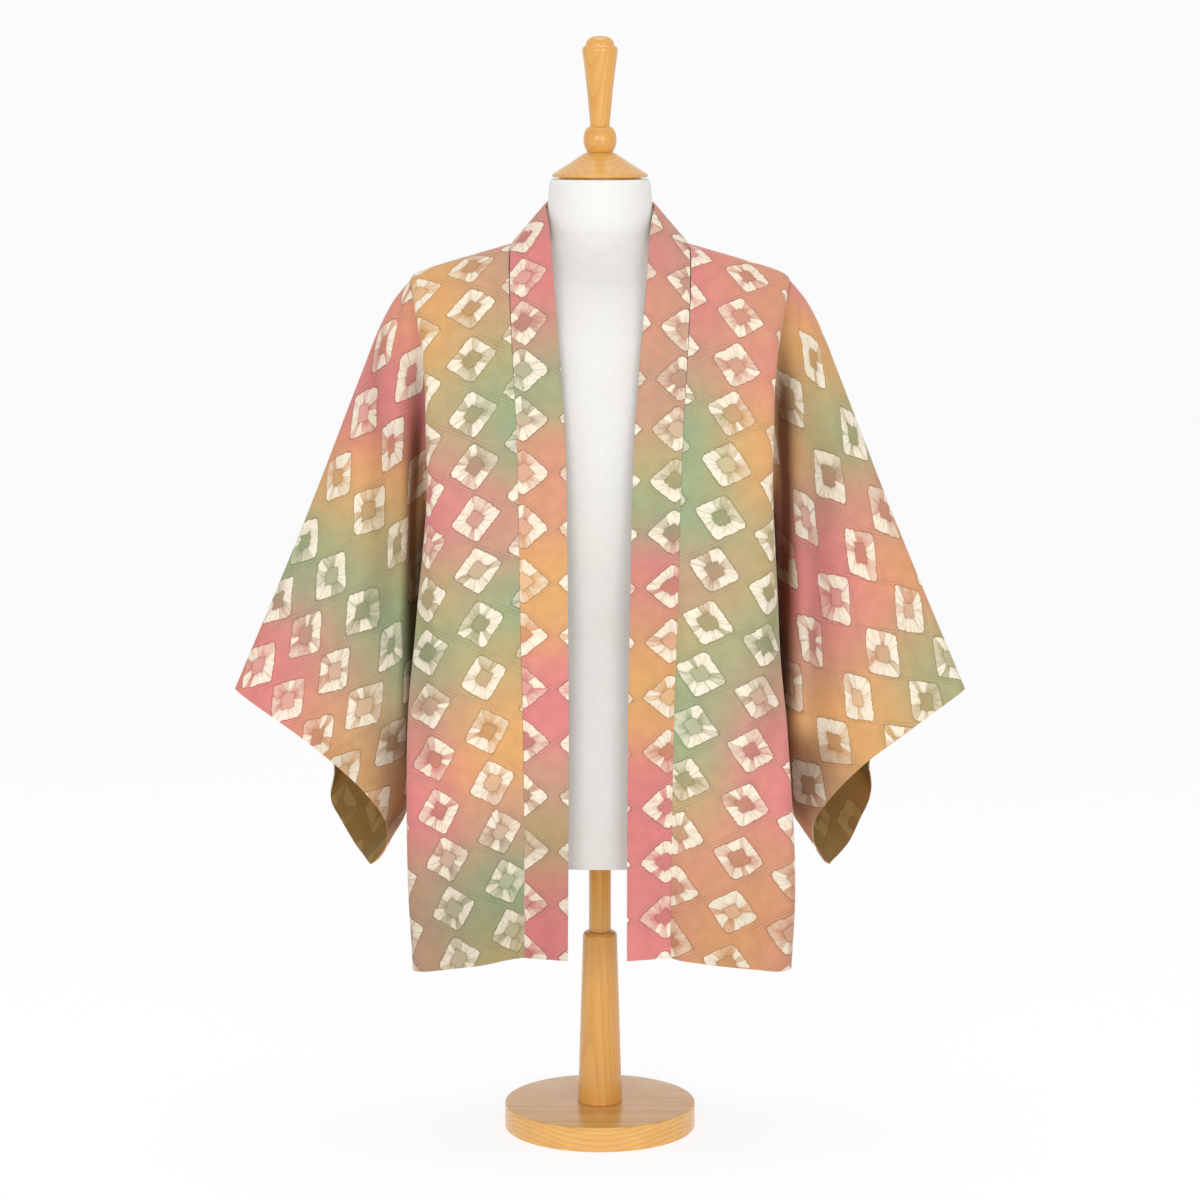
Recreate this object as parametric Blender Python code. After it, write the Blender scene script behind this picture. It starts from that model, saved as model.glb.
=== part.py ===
# A haori jacket hanging open on a limbless dress form with a turned wooden stand.
# Metres, +Z up, the front faces -Y, the floor is z = 0 under the middle of the base.
# Cloth pieces are thin closed shells built either side of a middle surface. They are
# worked out for the wearer's left (+X) and mirrored for the wearer's right.

from collections import namedtuple

import bmesh
import bpy
import numpy as np

CLOTH_WALL = 0.0014
COLLAR_WALL = 0.0026
SEAM_GAP = 0.0003
CENTRE_SEAM_HALF = 0.00019
COLLAR_STAND_ROOM = 0.0019
SLEEVE_STEP_SHOULDER = 0.0007
SLEEVE_STEP_UNDERARM = 0.0022
PART_GAP = 0.0003

# Stand, from the floor up
BASE_RADIUS = 0.106
BASE_HEIGHT = 0.0275
BASE_EDGE = 0.0016
COLUMN_TOP = 0.2215
COLUMN_FOOT_RADIUS = 0.0246
COLUMN_TOP_RADIUS = 0.0189
COLUMN_EDGE = 0.0045
POLE_RADIUS = 0.0122
TORSO_BOTTOM = 0.3107
NECK_TOP = 1.0503

TURNED_SEGMENTS = 64
TORSO_SEGMENTS = 56
TORSO_RINGS = 46

# Jacket
UNDERARM_Z = 0.680
SHOULDER_TIP = (0.2045, 0.941)
ARMHOLE_HALF_DEPTH = 0.066
ARMHOLE_X = 0.181
ARMHOLE_SPREADS_Z = 0.80
SIDE_HEM_Z = 0.237
UNDERARM_UP = 0.60
NECKLINE_END = 0.11322
COLLAR_TURNED_UP = 0.95
SIDE_WALL_PULL = np.array([0.08, 0.8, 0.8])
FRONT_LEAN = 0.003
LEAN_FROM_Z = 0.85

PANEL_ROWS_BELOW = 10
PANEL_COLUMNS = 13
BEND_ROOM = 0.09
ARMHOLE_STEPS = 14
SLEEVE_ROWS = 15
COLLAR_COLUMNS = 3

# One level of a front panel. "up" runs from the front hem (0) to the shoulder ridge (1).
# "seam" is the line where panel and collar meet, "free" is the collar's open edge, and
# "corner" is the point that pulls the panel round to the side.
FrontLevel = namedtuple(
    "FrontLevel",
    "up seam_x seam_y seam_z free_x free_y free_z corner_x corner_y corner_z",
)
FRONT_LEVELS = (
    FrontLevel(0.00, 0.0787, -0.1240, 0.2222, 0.0317, -0.1275, 0.2192, 0.268, -0.128, 0.192),
    FrontLevel(0.14, 0.0790, -0.1240, 0.3300, 0.0314, -0.1275, 0.3290, 0.270, -0.128, 0.313),
    FrontLevel(0.30, 0.0800, -0.1240, 0.4550, 0.0314, -0.1275, 0.4550, 0.262, -0.127, 0.444),
    FrontLevel(0.45, 0.0830, -0.1230, 0.5720, 0.0325, -0.1270, 0.5720, 0.238, -0.125, 0.566),
    FrontLevel(0.60, 0.0852, -0.1210, 0.6900, 0.0341, -0.1260, 0.6900, 0.214, -0.121, 0.684),
    FrontLevel(0.70, 0.0873, -0.1150, 0.7720, 0.0362, -0.1210, 0.7750, 0.204, -0.118, 0.763),
    FrontLevel(0.80, 0.0915, -0.1010, 0.8480, 0.0414, -0.1110, 0.8520, 0.207, -0.110, 0.836),
    FrontLevel(0.88, 0.0955, -0.0760, 0.9120, 0.0480, -0.0860, 0.9280, 0.208, -0.088, 0.890),
    FrontLevel(0.95, 0.0975, -0.0370, 0.9645, 0.0530, -0.0510, 0.9860, 0.201, -0.047, 0.930),
    FrontLevel(0.98, 0.0965, -0.0160, 0.9778, 0.0563, -0.0270, 1.0100, 0.194, -0.018, 0.950),
    FrontLevel(1.00, 0.0945, 0.0000, 0.9810, 0.0590, -0.0080, 1.0225, 0.187, 0.000, 0.954),
)

# One level of a back panel. "down" runs from the shoulder ridge (0) to the back hem (1).
# "inner" follows the neckline and then the centre back seam.
BackLevel = namedtuple(
    "BackLevel", "down inner_x inner_y inner_z corner_x corner_y corner_z"
)
BACK_LEVELS = (
    BackLevel(0.00, 0.0945, 0.0000, 0.9810, 0.187, 0.000, 0.954),
    BackLevel(0.02, 0.0915, 0.0170, 0.9810, 0.193, 0.018, 0.951),
    BackLevel(0.04, 0.0850, 0.0330, 0.9790, 0.199, 0.040, 0.934),
    BackLevel(0.08, 0.0520, 0.0640, 0.9760, 0.204, 0.077, 0.902),
    BackLevel(NECKLINE_END, 0.0003, 0.0780, 0.9700, 0.206, 0.100, 0.866),
    BackLevel(0.22, 0.0000, 0.1000, 0.8950, 0.204, 0.114, 0.800),
    BackLevel(0.40, 0.0000, 0.1140, 0.7550, 0.212, 0.122, 0.690),
    BackLevel(0.65, 0.0000, 0.1100, 0.5500, 0.246, 0.122, 0.510),
    BackLevel(1.00, 0.0000, 0.1180, 0.2700, 0.268, 0.126, 0.258),
)

# The collar's free edge round the back of the neck, against the same "down"
CollarBack = namedtuple("CollarBack", "down free_x free_y free_z")
COLLAR_BACK = (
    CollarBack(0.00, 0.0590, -0.0080, 1.0225),
    CollarBack(0.04, 0.0530, 0.0330, 1.0265),
    CollarBack(0.08, 0.0300, 0.0590, 1.0245),
    CollarBack(NECKLINE_END, 0.0000, 0.0690, 1.0205),
)

# Edges of the sleeve: along the top fold and the bottom fold ("out" from armhole to cuff)
# and down the cuff ("down" from the top fold to the bottom fold)
FoldPoint = namedtuple("FoldPoint", "out x y z")
TOP_FOLD = (
    FoldPoint(0.000, 0.2045, 0.000, 0.9410),
    FoldPoint(0.054, 0.2215, 0.000, 0.9205),
    FoldPoint(0.125, 0.2380, 0.001, 0.8900),
    FoldPoint(0.213, 0.2543, 0.003, 0.8500),
    FoldPoint(0.588, 0.3225, 0.008, 0.6788),
    FoldPoint(1.000, 0.4017, 0.010, 0.4925),
)
BOTTOM_FOLD = (
    FoldPoint(0.00, 0.1810, 0.000, 0.6800),
    FoldPoint(0.20, 0.1890, 0.003, 0.6000),
    FoldPoint(0.45, 0.1960, 0.005, 0.5000),
    FoldPoint(0.65, 0.2035, 0.005, 0.4200),
    FoldPoint(0.81, 0.2135, 0.003, 0.3594),
    FoldPoint(1.00, 0.2537, 0.000, 0.2971),
)
CuffPoint = namedtuple("CuffPoint", "down x y z")
CUFF_FRONT = (
    CuffPoint(0.000, 0.4017, 0.010, 0.4925),
    CuffPoint(0.012, 0.3989, 0.005, 0.4905),
    CuffPoint(0.060, 0.3868, -0.001, 0.4822),
    CuffPoint(0.323, 0.3200, -0.020, 0.4372),
    CuffPoint(0.445, 0.2900, -0.035, 0.4172),
    CuffPoint(0.556, 0.2645, -0.050, 0.3974),
    CuffPoint(0.660, 0.2434, -0.058, 0.3740),
    CuffPoint(0.740, 0.2315, -0.054, 0.3520),
    CuffPoint(0.829, 0.2328, -0.036, 0.3320),
    CuffPoint(1.000, 0.2537, 0.000, 0.2971),
)
CUFF_BACK = (
    CuffPoint(0.000, 0.4017, 0.010, 0.4925),
    CuffPoint(0.012, 0.3987, 0.015, 0.4900),
    CuffPoint(0.060, 0.3860, 0.021, 0.4790),
    CuffPoint(0.22, 0.3436, 0.032, 0.4420),
    CuffPoint(0.42, 0.2986, 0.046, 0.4020),
    CuffPoint(0.55, 0.3039, 0.068, 0.3631),
    CuffPoint(0.68, 0.2926, 0.066, 0.3355),
    CuffPoint(0.83, 0.2736, 0.040, 0.3090),
    CuffPoint(1.00, 0.2537, 0.000, 0.2971),
)

# Hanging folds of the sleeve next to the body: a ridge where "push" is outwards.
# "x_top" and "x_low" are where the fold runs at the two heights.
Fold = namedtuple("Fold", "x_top z_top x_low z_low width push")
FRONT_FOLDS = (
    Fold(0.205, 0.90, 0.222, 0.40, 0.011, 0.016),
    Fold(0.228, 0.86, 0.245, 0.42, 0.012, -0.007),
)
BACK_FOLDS = (
    Fold(0.208, 0.88, 0.226, 0.42, 0.013, 0.014),
    Fold(0.236, 0.84, 0.256, 0.44, 0.014, -0.008),
)

# How a fold fades towards the sleeve's edges, and along its own length
FOLD_FADE_OUT = 0.7
FOLD_FADE_DOWN = 0.8
FOLD_STARTS_OVER = 0.25
FOLD_ENDS_AT = 1.25
FOLD_ENDS_OVER = 0.33

# Level rings of the torso and neck
Ring = namedtuple("Ring", "z half_width half_depth centre_y power")
TORSO = (
    Ring(0.3107, 0.1300, 0.0900, 0.000, 2.2),
    Ring(0.3300, 0.1350, 0.0930, 0.000, 2.3),
    Ring(0.4500, 0.1400, 0.0970, 0.000, 2.3),
    Ring(0.5800, 0.1350, 0.0930, 0.000, 2.3),
    Ring(0.7000, 0.1550, 0.1030, 0.000, 2.3),
    Ring(0.8000, 0.1720, 0.1030, -0.002, 2.3),
    Ring(0.8700, 0.1800, 0.0920, -0.001, 2.3),
    Ring(0.9120, 0.1870, 0.0740, 0.002, 2.2),
    Ring(0.9380, 0.1885, 0.0560, 0.003, 2.0),
    Ring(0.9473, 0.1850, 0.0480, 0.004, 2.0),
    Ring(0.9543, 0.1780, 0.0430, 0.003, 2.0),
    Ring(0.9640, 0.1484, 0.0390, 0.003, 2.0),
    Ring(0.9725, 0.1194, 0.0385, 0.003, 2.0),
    Ring(0.9850, 0.0770, 0.0440, 0.004, 2.0),
    Ring(0.9990, 0.0630, 0.0520, 0.002, 2.0),
    Ring(1.0200, 0.0567, 0.0567, 0.000, 2.0),
    Ring(1.0400, 0.0550, 0.0550, 0.000, 2.0),
    Ring(1.0490, 0.0538, 0.0538, 0.000, 2.0),
    Ring(1.0503, 0.0526, 0.0526, 0.000, 2.0),
)

# Radius and height of each turned piece, from its lowest point on the axis
Turn = namedtuple("Turn", "radius z")
NECK_CAP = (
    Turn(0.0000, 1.0506),
    Turn(0.0440, 1.0506),
    Turn(0.0440, 1.0524),
    Turn(0.0508, 1.0524),
    Turn(0.0516, 1.0532),
    Turn(0.0516, 1.0550),
    Turn(0.0508, 1.0560),
    Turn(0.0168, 1.0778),
    Turn(0.0160, 1.0782),
    Turn(0.0000, 1.0782),
)
FINIAL = (
    Turn(0.0000, 1.0785),
    Turn(0.0136, 1.0785),
    Turn(0.0155, 1.0818),
    Turn(0.0170, 1.0857),
    Turn(0.0179, 1.0915),
    Turn(0.0176, 1.0965),
    Turn(0.0163, 1.1012),
    Turn(0.0140, 1.1045),
    Turn(0.0112, 1.1064),
    Turn(0.0104, 1.1070),
    Turn(0.0106, 1.1100),
    Turn(0.0121, 1.1250),
    Turn(0.0136, 1.1420),
    Turn(0.0163, 1.1650),
    Turn(0.0187, 1.1835),
    Turn(0.0190, 1.1872),
    Turn(0.0184, 1.1900),
    Turn(0.0166, 1.1920),
    Turn(0.0154, 1.1924),
    Turn(0.0152, 1.1942),
    Turn(0.0142, 1.1970),
    Turn(0.0112, 1.2001),
    Turn(0.0060, 1.2020),
    Turn(0.0000, 1.2024),
)

WOOD = ((0.72, 0.44, 0.18, 1.0), 0.38)
LINEN = ((0.85, 0.84, 0.82, 1.0), 0.90)
PRINT_BODY = ((0.66, 0.42, 0.31, 1.0), 0.75)
PRINT_SLEEVE = ((0.68, 0.38, 0.30, 1.0), 0.75)
PRINT_COLLAR = ((0.70, 0.34, 0.29, 1.0), 0.75)


def smooth_column(keys, values, where):
    """Values between the rows of a table: a cubic through each row that never overshoots."""
    keys = np.asarray(keys, float)
    values = np.asarray(values, float)
    steps = np.diff(keys)
    slopes = np.diff(values) / steps
    tangents = np.zeros(len(keys))
    tangents[0], tangents[-1] = slopes[0], slopes[-1]
    for i in range(1, len(keys) - 1):
        before, after = slopes[i - 1], slopes[i]
        if before * after > 0:
            w1, w2 = 2 * steps[i] + steps[i - 1], steps[i] + 2 * steps[i - 1]
            tangents[i] = (w1 + w2) / (w1 / before + w2 / after)
    where = np.clip(np.asarray(where, float), keys[0], keys[-1])
    i = np.clip(np.searchsorted(keys, where, side="right") - 1, 0, len(steps) - 1)
    t = (where - keys[i]) / steps[i]
    return (
        (2 * t**3 - 3 * t**2 + 1) * values[i]
        + (t**3 - 2 * t**2 + t) * steps[i] * tangents[i]
        + (3 * t**2 - 2 * t**3) * values[i + 1]
        + (t**3 - t**2) * steps[i] * tangents[i + 1]
    )


def read_table(table, fields, where):
    """The named fields of a table at one place along its first column."""
    keys = [row[0] for row in table]
    return np.stack(
        [smooth_column(keys, [getattr(row, f) for row in table], where) for f in fields],
        axis=-1,
    )


def unit(vector):
    return vector / np.linalg.norm(vector, axis=-1, keepdims=True)


def bend_steps(line, count):
    """The same line with count points, closer together where it bends."""
    steps = np.diff(line, axis=0)
    heading = unit(steps)
    turned = np.arccos(np.clip((heading[1:] * heading[:-1]).sum(axis=1), -1, 1))
    run = np.linalg.norm(steps, axis=1) + BEND_ROOM * np.append(turned, 0)
    run = np.concatenate([[0], np.cumsum(run)])
    spots = np.linspace(0, run[-1], count)
    return np.stack([np.interp(spots, run, line[:, k]) for k in range(3)], axis=1)


def armhole_point(turn, front):
    """A point of the armhole. turn is 0 at the shoulder tip and 1 at the underarm."""
    angle = np.pi * turn
    middle = (SHOULDER_TIP[1] + UNDERARM_Z) / 2
    half = (SHOULDER_TIP[1] - UNDERARM_Z) / 2
    z = middle + half * np.cos(angle)
    y = ARMHOLE_HALF_DEPTH * np.sin(angle) * (-1 if front else 1)
    rise = max(0.0, (z - ARMHOLE_SPREADS_Z) / (SHOULDER_TIP[1] - ARMHOLE_SPREADS_Z))
    return np.array([ARMHOLE_X + (SHOULDER_TIP[0] - ARMHOLE_X) * rise**2, y, z])


def fold_steps():
    """Shares of the way from the sleeve's top fold to its bottom fold, closer at the folds."""
    return (1 - np.cos(np.pi * np.linspace(0, 1, ARMHOLE_STEPS + 1))) / 2


def outer_edge(up, front):
    """The panel's outer edge: side seam below the underarm, armhole above it."""
    half_gap = SEAM_GAP / 2 * (-1 if front else 1)
    if up < UNDERARM_UP:
        z = SIDE_HEM_Z + (UNDERARM_Z - SIDE_HEM_Z) * up / UNDERARM_UP
        return np.array([ARMHOLE_X, half_gap, z])
    turn = (1 - up) / (1 - UNDERARM_UP)
    return armhole_point(turn, front) + np.array([0, half_gap * (turn > 0.5), 0])


def lean(points):
    """Both fronts hang a little towards the wearer's right lower down."""
    share = np.clip((LEAN_FROM_Z - points[..., 2]) / (LEAN_FROM_Z - SIDE_HEM_Z), 0, 1)
    front = np.clip(-points[..., 1] / ARMHOLE_HALF_DEPTH - 1, 0, 1)
    moved = points.copy()
    moved[..., 0] -= FRONT_LEAN * share * front
    return moved


def panel_row(inner, corner, outer):
    """A level line of a panel that stays flat, turns at the corner and ends at the edge."""
    t = np.linspace(0, 1, 61)[:, None]
    past_corner = outer + (corner - outer) * SIDE_WALL_PULL
    line = (
        (1 - t) ** 3 * inner
        + 3 * (1 - t) ** 2 * t * corner
        + 3 * (1 - t) * t**2 * past_corner
        + t**3 * outer
    )
    return bend_steps(line, PANEL_COLUMNS)


def panel_levels():
    """Levels of the panel's rows: even below the underarm, matched to the sleeve above it."""
    below = np.linspace(0, UNDERARM_UP, PANEL_ROWS_BELOW, endpoint=False)
    beside = 1 - (1 - UNDERARM_UP) * fold_steps()[::-1]
    return np.concatenate([below, beside])


def panel_grid():
    """The middle surface of one body panel, front hem to back hem."""
    ups = panel_levels()
    rows = []
    for up in ups:
        seam = read_table(FRONT_LEVELS, ("seam_x", "seam_y", "seam_z"), up)
        corner = read_table(FRONT_LEVELS, ("corner_x", "corner_y", "corner_z"), up)
        rows.append(panel_row(seam, corner, outer_edge(up, True)))
    for down in (1 - ups)[-2::-1]:
        inner = read_table(BACK_LEVELS, ("inner_x", "inner_y", "inner_z"), down)
        inner[0] = max(inner[0], CENTRE_SEAM_HALF)
        corner = read_table(BACK_LEVELS, ("corner_x", "corner_y", "corner_z"), down)
        rows.append(panel_row(inner, corner, outer_edge(1 - down, False)))
    return np.array(rows)


def collar_grid():
    """The collar's middle surface, from one front hem round the neck to the other."""
    ups = panel_levels()
    downs = (1 - ups)[-2::-1]
    downs = downs[downs < NECKLINE_END + 1e-4]
    seam = np.concatenate([
        read_table(FRONT_LEVELS, ("seam_x", "seam_y", "seam_z"), ups),
        read_table(BACK_LEVELS, ("inner_x", "inner_y", "inner_z"), downs),
    ])
    free = np.concatenate([
        read_table(FRONT_LEVELS, ("free_x", "free_y", "free_z"), ups),
        read_table(COLLAR_BACK, ("free_x", "free_y", "free_z"), downs),
    ])
    turned = np.clip((ups - UNDERARM_UP) / (COLLAR_TURNED_UP - UNDERARM_UP), 0, 1) ** 3
    bend = np.concatenate([turned, np.ones(len(downs))])
    room = (SEAM_GAP + COLLAR_STAND_ROOM * bend)[:, None]
    seam = seam + unit(free - seam) * room
    share = np.linspace(0, 1, COLLAR_COLUMNS)[None, :, None]
    half = seam[:, None, :] * (1 - share) + free[:, None, :] * share
    left = lean(half)
    right = lean(half * np.array([-1, 1, 1]))
    return np.concatenate([left, right[-2::-1]])


def sleeve_layer(cuff, front):
    """One layer of the sleeve spread between its four edges, with its hanging folds."""
    out = np.linspace(0, 1, SLEEVE_ROWS)
    down = fold_steps()
    top = read_table(TOP_FOLD, ("x", "y", "z"), out)[:, None]
    low = read_table(BOTTOM_FOLD, ("x", "y", "z"), out)[:, None]
    far = read_table(cuff, ("x", "y", "z"), down)[None]
    near = np.array([armhole_point(d, front) for d in down])[None]
    o = out[:, None, None]
    d = down[None, :, None]
    corners = (
        (1 - o) * (1 - d) * near[:, :1]
        + (1 - o) * d * near[:, -1:]
        + o * (1 - d) * far[:, :1]
        + o * d * far[:, -1:]
    )
    layer = (1 - o) * near + o * far + (1 - d) * top + d * low - corners
    fade = np.sin(np.pi * np.clip(out, 0, 1)) ** FOLD_FADE_OUT
    inside = np.sin(np.pi * down) ** FOLD_FADE_DOWN
    for fold in FRONT_FOLDS if front else BACK_FOLDS:
        along = (fold.z_top - layer[..., 2]) / (fold.z_top - fold.z_low)
        x = fold.x_top + (fold.x_low - fold.x_top) * along
        starts = np.clip(along / FOLD_STARTS_OVER, 0, 1)
        ends = np.clip((FOLD_ENDS_AT - along) / FOLD_ENDS_OVER, 0, 1)
        height = fold.push * np.exp(-(((layer[..., 0] - x) / fold.width) ** 2)) * starts * ends
        layer[..., 1] += (-1 if front else 1) * height * inside[None] * fade[:, None]
    return layer


def sleeve_grid():
    """The sleeve's middle surface: rings from the armhole to the cuff."""
    front = sleeve_layer(CUFF_FRONT, True)
    back = sleeve_layer(CUFF_BACK, False)
    rings = np.concatenate([front, back[:, -2:0:-1]], axis=1)
    # The sleeve starts beside the panel's wall: end to end at the shoulder, outside it below
    turn = (SHOULDER_TIP[1] - rings[0, :, 2]) / (SHOULDER_TIP[1] - UNDERARM_Z)
    fade = (1 - np.linspace(0, 1, SLEEVE_ROWS))[:, None] ** 2
    step = SLEEVE_STEP_SHOULDER + (
        SLEEVE_STEP_UNDERARM - SLEEVE_STEP_SHOULDER
    ) * np.sqrt(np.clip(turn, 0, 1))
    rings[..., 0] += step[None] * fade
    rings[..., 2] -= (SEAM_GAP * (1 - turn))[None] * fade
    return rings


def grid_normals(grid, closed):
    along = np.gradient(grid, axis=0)
    if closed:
        across = (np.roll(grid, -1, axis=1) - np.roll(grid, 1, axis=1)) / 2
    else:
        across = np.gradient(grid, axis=1)
    return unit(np.cross(across, along))


def add_material(name, look):
    colour, roughness = look
    material = bpy.data.materials.new(name)
    material.use_nodes = True
    shader = material.node_tree.nodes["Principled BSDF"]
    shader.inputs["Base Color"].default_value = colour
    shader.inputs["Roughness"].default_value = roughness
    shader.inputs["Metallic"].default_value = 0.0
    material.diffuse_color = colour
    return material


def add_object(name, verts, faces, material, sharp_degrees):
    mesh = bpy.data.meshes.new(name)
    mesh.from_pydata([tuple(map(float, v)) for v in verts], [], faces)
    work = bmesh.new()
    work.from_mesh(mesh)
    bmesh.ops.recalc_face_normals(work, faces=work.faces)
    work.to_mesh(mesh)
    work.free()
    mesh.shade_smooth()
    mesh.set_sharp_from_angle(angle=np.radians(sharp_degrees))
    mesh.materials.append(material)
    obj = bpy.data.objects.new(name, mesh)
    bpy.context.scene.collection.objects.link(obj)
    return obj


def add_shell(name, grid, wall, material, closed=False):
    """A cloth wall: the middle surface moved out and in by half the wall, with its rims."""
    rows, columns = grid.shape[:2]
    normals = grid_normals(grid, closed)
    verts = np.concatenate([
        (grid + normals * wall / 2).reshape(-1, 3),
        (grid - normals * wall / 2).reshape(-1, 3),
    ])
    under = rows * columns
    faces = []
    for r in range(rows - 1):
        for c in range(columns if closed else columns - 1):
            a, b = r * columns + c, r * columns + (c + 1) % columns
            d, e = a + columns, b + columns
            faces += [(a, b, e, d), (a + under, d + under, e + under, b + under)]
    ends = [0, rows - 1]
    for c in range(columns if closed else columns - 1):
        for r in ends:
            a, b = r * columns + c, r * columns + (c + 1) % columns
            faces.append((a, a + under, b + under, b))
    if not closed:
        for r in range(rows - 1):
            for c in (0, columns - 1):
                a, b = r * columns + c, (r + 1) * columns + c
                faces.append((a, b, b + under, a + under))
    return add_object(name, verts, faces, material, 40)


def add_turned(name, profile, material, sharp_degrees=30):
    """A solid turned about the vertical axis from its radii and heights."""
    verts = [(0, 0, profile[0].z)]
    angles = np.linspace(0, 2 * np.pi, TURNED_SEGMENTS, endpoint=False)
    for turn in profile[1:-1]:
        verts += [(turn.radius * np.cos(a), turn.radius * np.sin(a), turn.z) for a in angles]
    verts.append((0, 0, profile[-1].z))
    return add_object(
        name, verts, ring_faces(len(profile) - 2, TURNED_SEGMENTS), material, sharp_degrees
    )


def ring_faces(rings, segments):
    """Faces of stacked rings, closed by a fan at the first and at the last point."""
    last = 1 + rings * segments
    faces = []
    for c in range(segments):
        n = (c + 1) % segments
        faces.append((0, 1 + n, 1 + c))
        faces.append((last, last - segments + c, last - segments + n))
        for r in range(rings - 1):
            a = 1 + r * segments
            faces.append((a + c, a + n, a + segments + n, a + segments + c))
    return faces


def add_torso(material):
    fields = ("half_width", "half_depth", "centre_y", "power")
    keys = [ring.z for ring in TORSO]
    spots = np.linspace(0, len(keys) - 1, TORSO_RINGS)
    heights = np.interp(spots, range(len(keys)), keys)
    angles = np.linspace(0, 2 * np.pi, TORSO_SEGMENTS, endpoint=False)
    verts = [(0, 0, keys[0])]
    for z in heights:
        width, depth, centre, power = read_table(TORSO, fields, z)
        for a in angles:
            x = np.sign(np.cos(a)) * abs(np.cos(a)) ** (2 / power) * width
            y = np.sign(np.sin(a)) * abs(np.sin(a)) ** (2 / power) * depth + centre
            verts.append((x, y, z))
    verts.append((0, 0, keys[-1]))
    return add_object(
        "form_torso", verts, ring_faces(TORSO_RINGS, TORSO_SEGMENTS), material, 50
    )


def edge_turns(radius, z, edge, low):
    """The rounded edge of a disc or a column, below or above its flat face."""
    turns = []
    for step in range(4):
        a = np.pi / 2 * step / 3
        inward, up = edge * (1 - np.sin(a)), edge * (1 - np.cos(a))
        turns.append(Turn(radius - inward, z + up if low else z - up))
    return turns if low else turns[::-1]


def add_stand(wood):
    base = [Turn(0, 0)]
    base += edge_turns(BASE_RADIUS, 0, BASE_EDGE / 2, True)
    base += edge_turns(BASE_RADIUS, BASE_HEIGHT, BASE_EDGE, False)
    base.append(Turn(0, BASE_HEIGHT))
    add_turned("stand_base", base, wood)
    foot = BASE_HEIGHT + PART_GAP
    column = [Turn(0, foot), Turn(COLUMN_FOOT_RADIUS, foot)]
    column += edge_turns(COLUMN_TOP_RADIUS, COLUMN_TOP, COLUMN_EDGE, False)
    column.append(Turn(0, COLUMN_TOP))
    add_turned("stand_column", column, wood)
    low, high = COLUMN_TOP + PART_GAP, TORSO_BOTTOM - PART_GAP
    pole = (Turn(0, low), Turn(POLE_RADIUS, low), Turn(POLE_RADIUS, high), Turn(0, high))
    add_turned("stand_pole", pole, wood)
    add_turned("neck_cap", NECK_CAP, wood)
    add_turned("finial", FINIAL, wood)


def add_jacket():
    body = add_material("print_body", PRINT_BODY)
    sleeves = add_material("print_sleeve", PRINT_SLEEVE)
    collar = add_material("print_collar", PRINT_COLLAR)
    panel, sleeve = panel_grid(), sleeve_grid()
    mirror = np.array([-1, 1, 1])
    for side, flip in (("left", 1), ("right", mirror)):
        add_shell("body_" + side, lean(panel * flip), CLOTH_WALL, body)
        add_shell("sleeve_" + side, sleeve * flip, CLOTH_WALL, sleeves, closed=True)
    add_shell("collar", collar_grid(), COLLAR_WALL, collar)


for old in list(bpy.data.objects):
    bpy.data.objects.remove(old, do_unlink=True)
add_stand(add_material("wood", WOOD))
add_torso(add_material("linen", LINEN))
add_jacket()
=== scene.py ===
import math

import bmesh
import bpy
import numpy as np
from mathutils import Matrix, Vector, noise


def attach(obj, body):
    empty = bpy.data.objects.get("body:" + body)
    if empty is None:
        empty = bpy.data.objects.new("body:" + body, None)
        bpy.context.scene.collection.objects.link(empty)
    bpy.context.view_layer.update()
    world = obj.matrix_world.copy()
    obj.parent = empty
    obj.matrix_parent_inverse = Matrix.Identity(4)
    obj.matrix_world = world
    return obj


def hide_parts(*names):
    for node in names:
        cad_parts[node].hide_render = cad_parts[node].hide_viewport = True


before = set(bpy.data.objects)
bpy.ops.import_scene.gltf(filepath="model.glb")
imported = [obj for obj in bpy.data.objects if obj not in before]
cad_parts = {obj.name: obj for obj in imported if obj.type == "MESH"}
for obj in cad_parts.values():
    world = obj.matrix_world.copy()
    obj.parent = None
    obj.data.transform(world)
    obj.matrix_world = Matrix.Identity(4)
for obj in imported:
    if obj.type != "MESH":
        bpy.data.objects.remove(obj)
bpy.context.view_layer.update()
print("frame:", len(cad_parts), "nodes")

# A haori hanging open on a linen dress form with a turned stand. Metres, front faces -Y.
# The wearer's left is +X. Cloth is worked out for that side and mirrored for the other.


def smoothColumn(keys, values, where):
    # a cubic through every row that never overshoots
    keys, values = np.asarray(keys, float), np.asarray(values, float)
    steps = np.diff(keys)
    slopes = np.diff(values) / steps
    tangents = np.zeros(len(keys))
    tangents[0], tangents[-1] = slopes[0], slopes[-1]
    for i in range(1, len(keys) - 1):
        before, after = slopes[i - 1], slopes[i]
        if before * after > 0:
            w1, w2 = 2 * steps[i] + steps[i - 1], steps[i] + 2 * steps[i - 1]
            tangents[i] = (w1 + w2) / (w1 / before + w2 / after)
    where = np.clip(np.asarray(where, float), keys[0], keys[-1])
    i = np.clip(np.searchsorted(keys, where, side="right") - 1, 0, len(steps) - 1)
    t = (where - keys[i]) / steps[i]
    return (
        (2 * t**3 - 3 * t**2 + 1) * values[i]
        + (t**3 - 2 * t**2 + t) * steps[i] * tangents[i]
        + (3 * t**2 - 2 * t**3) * values[i + 1]
        + (t**3 - t**2) * steps[i] * tangents[i + 1]
    )


def readRows(rows, where):
    # rows are read by their first number, and the others come back side by side
    keys, *columns = zip(*rows)
    return np.stack([smoothColumn(keys, values, where) for values in columns], axis=-1)


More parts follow.
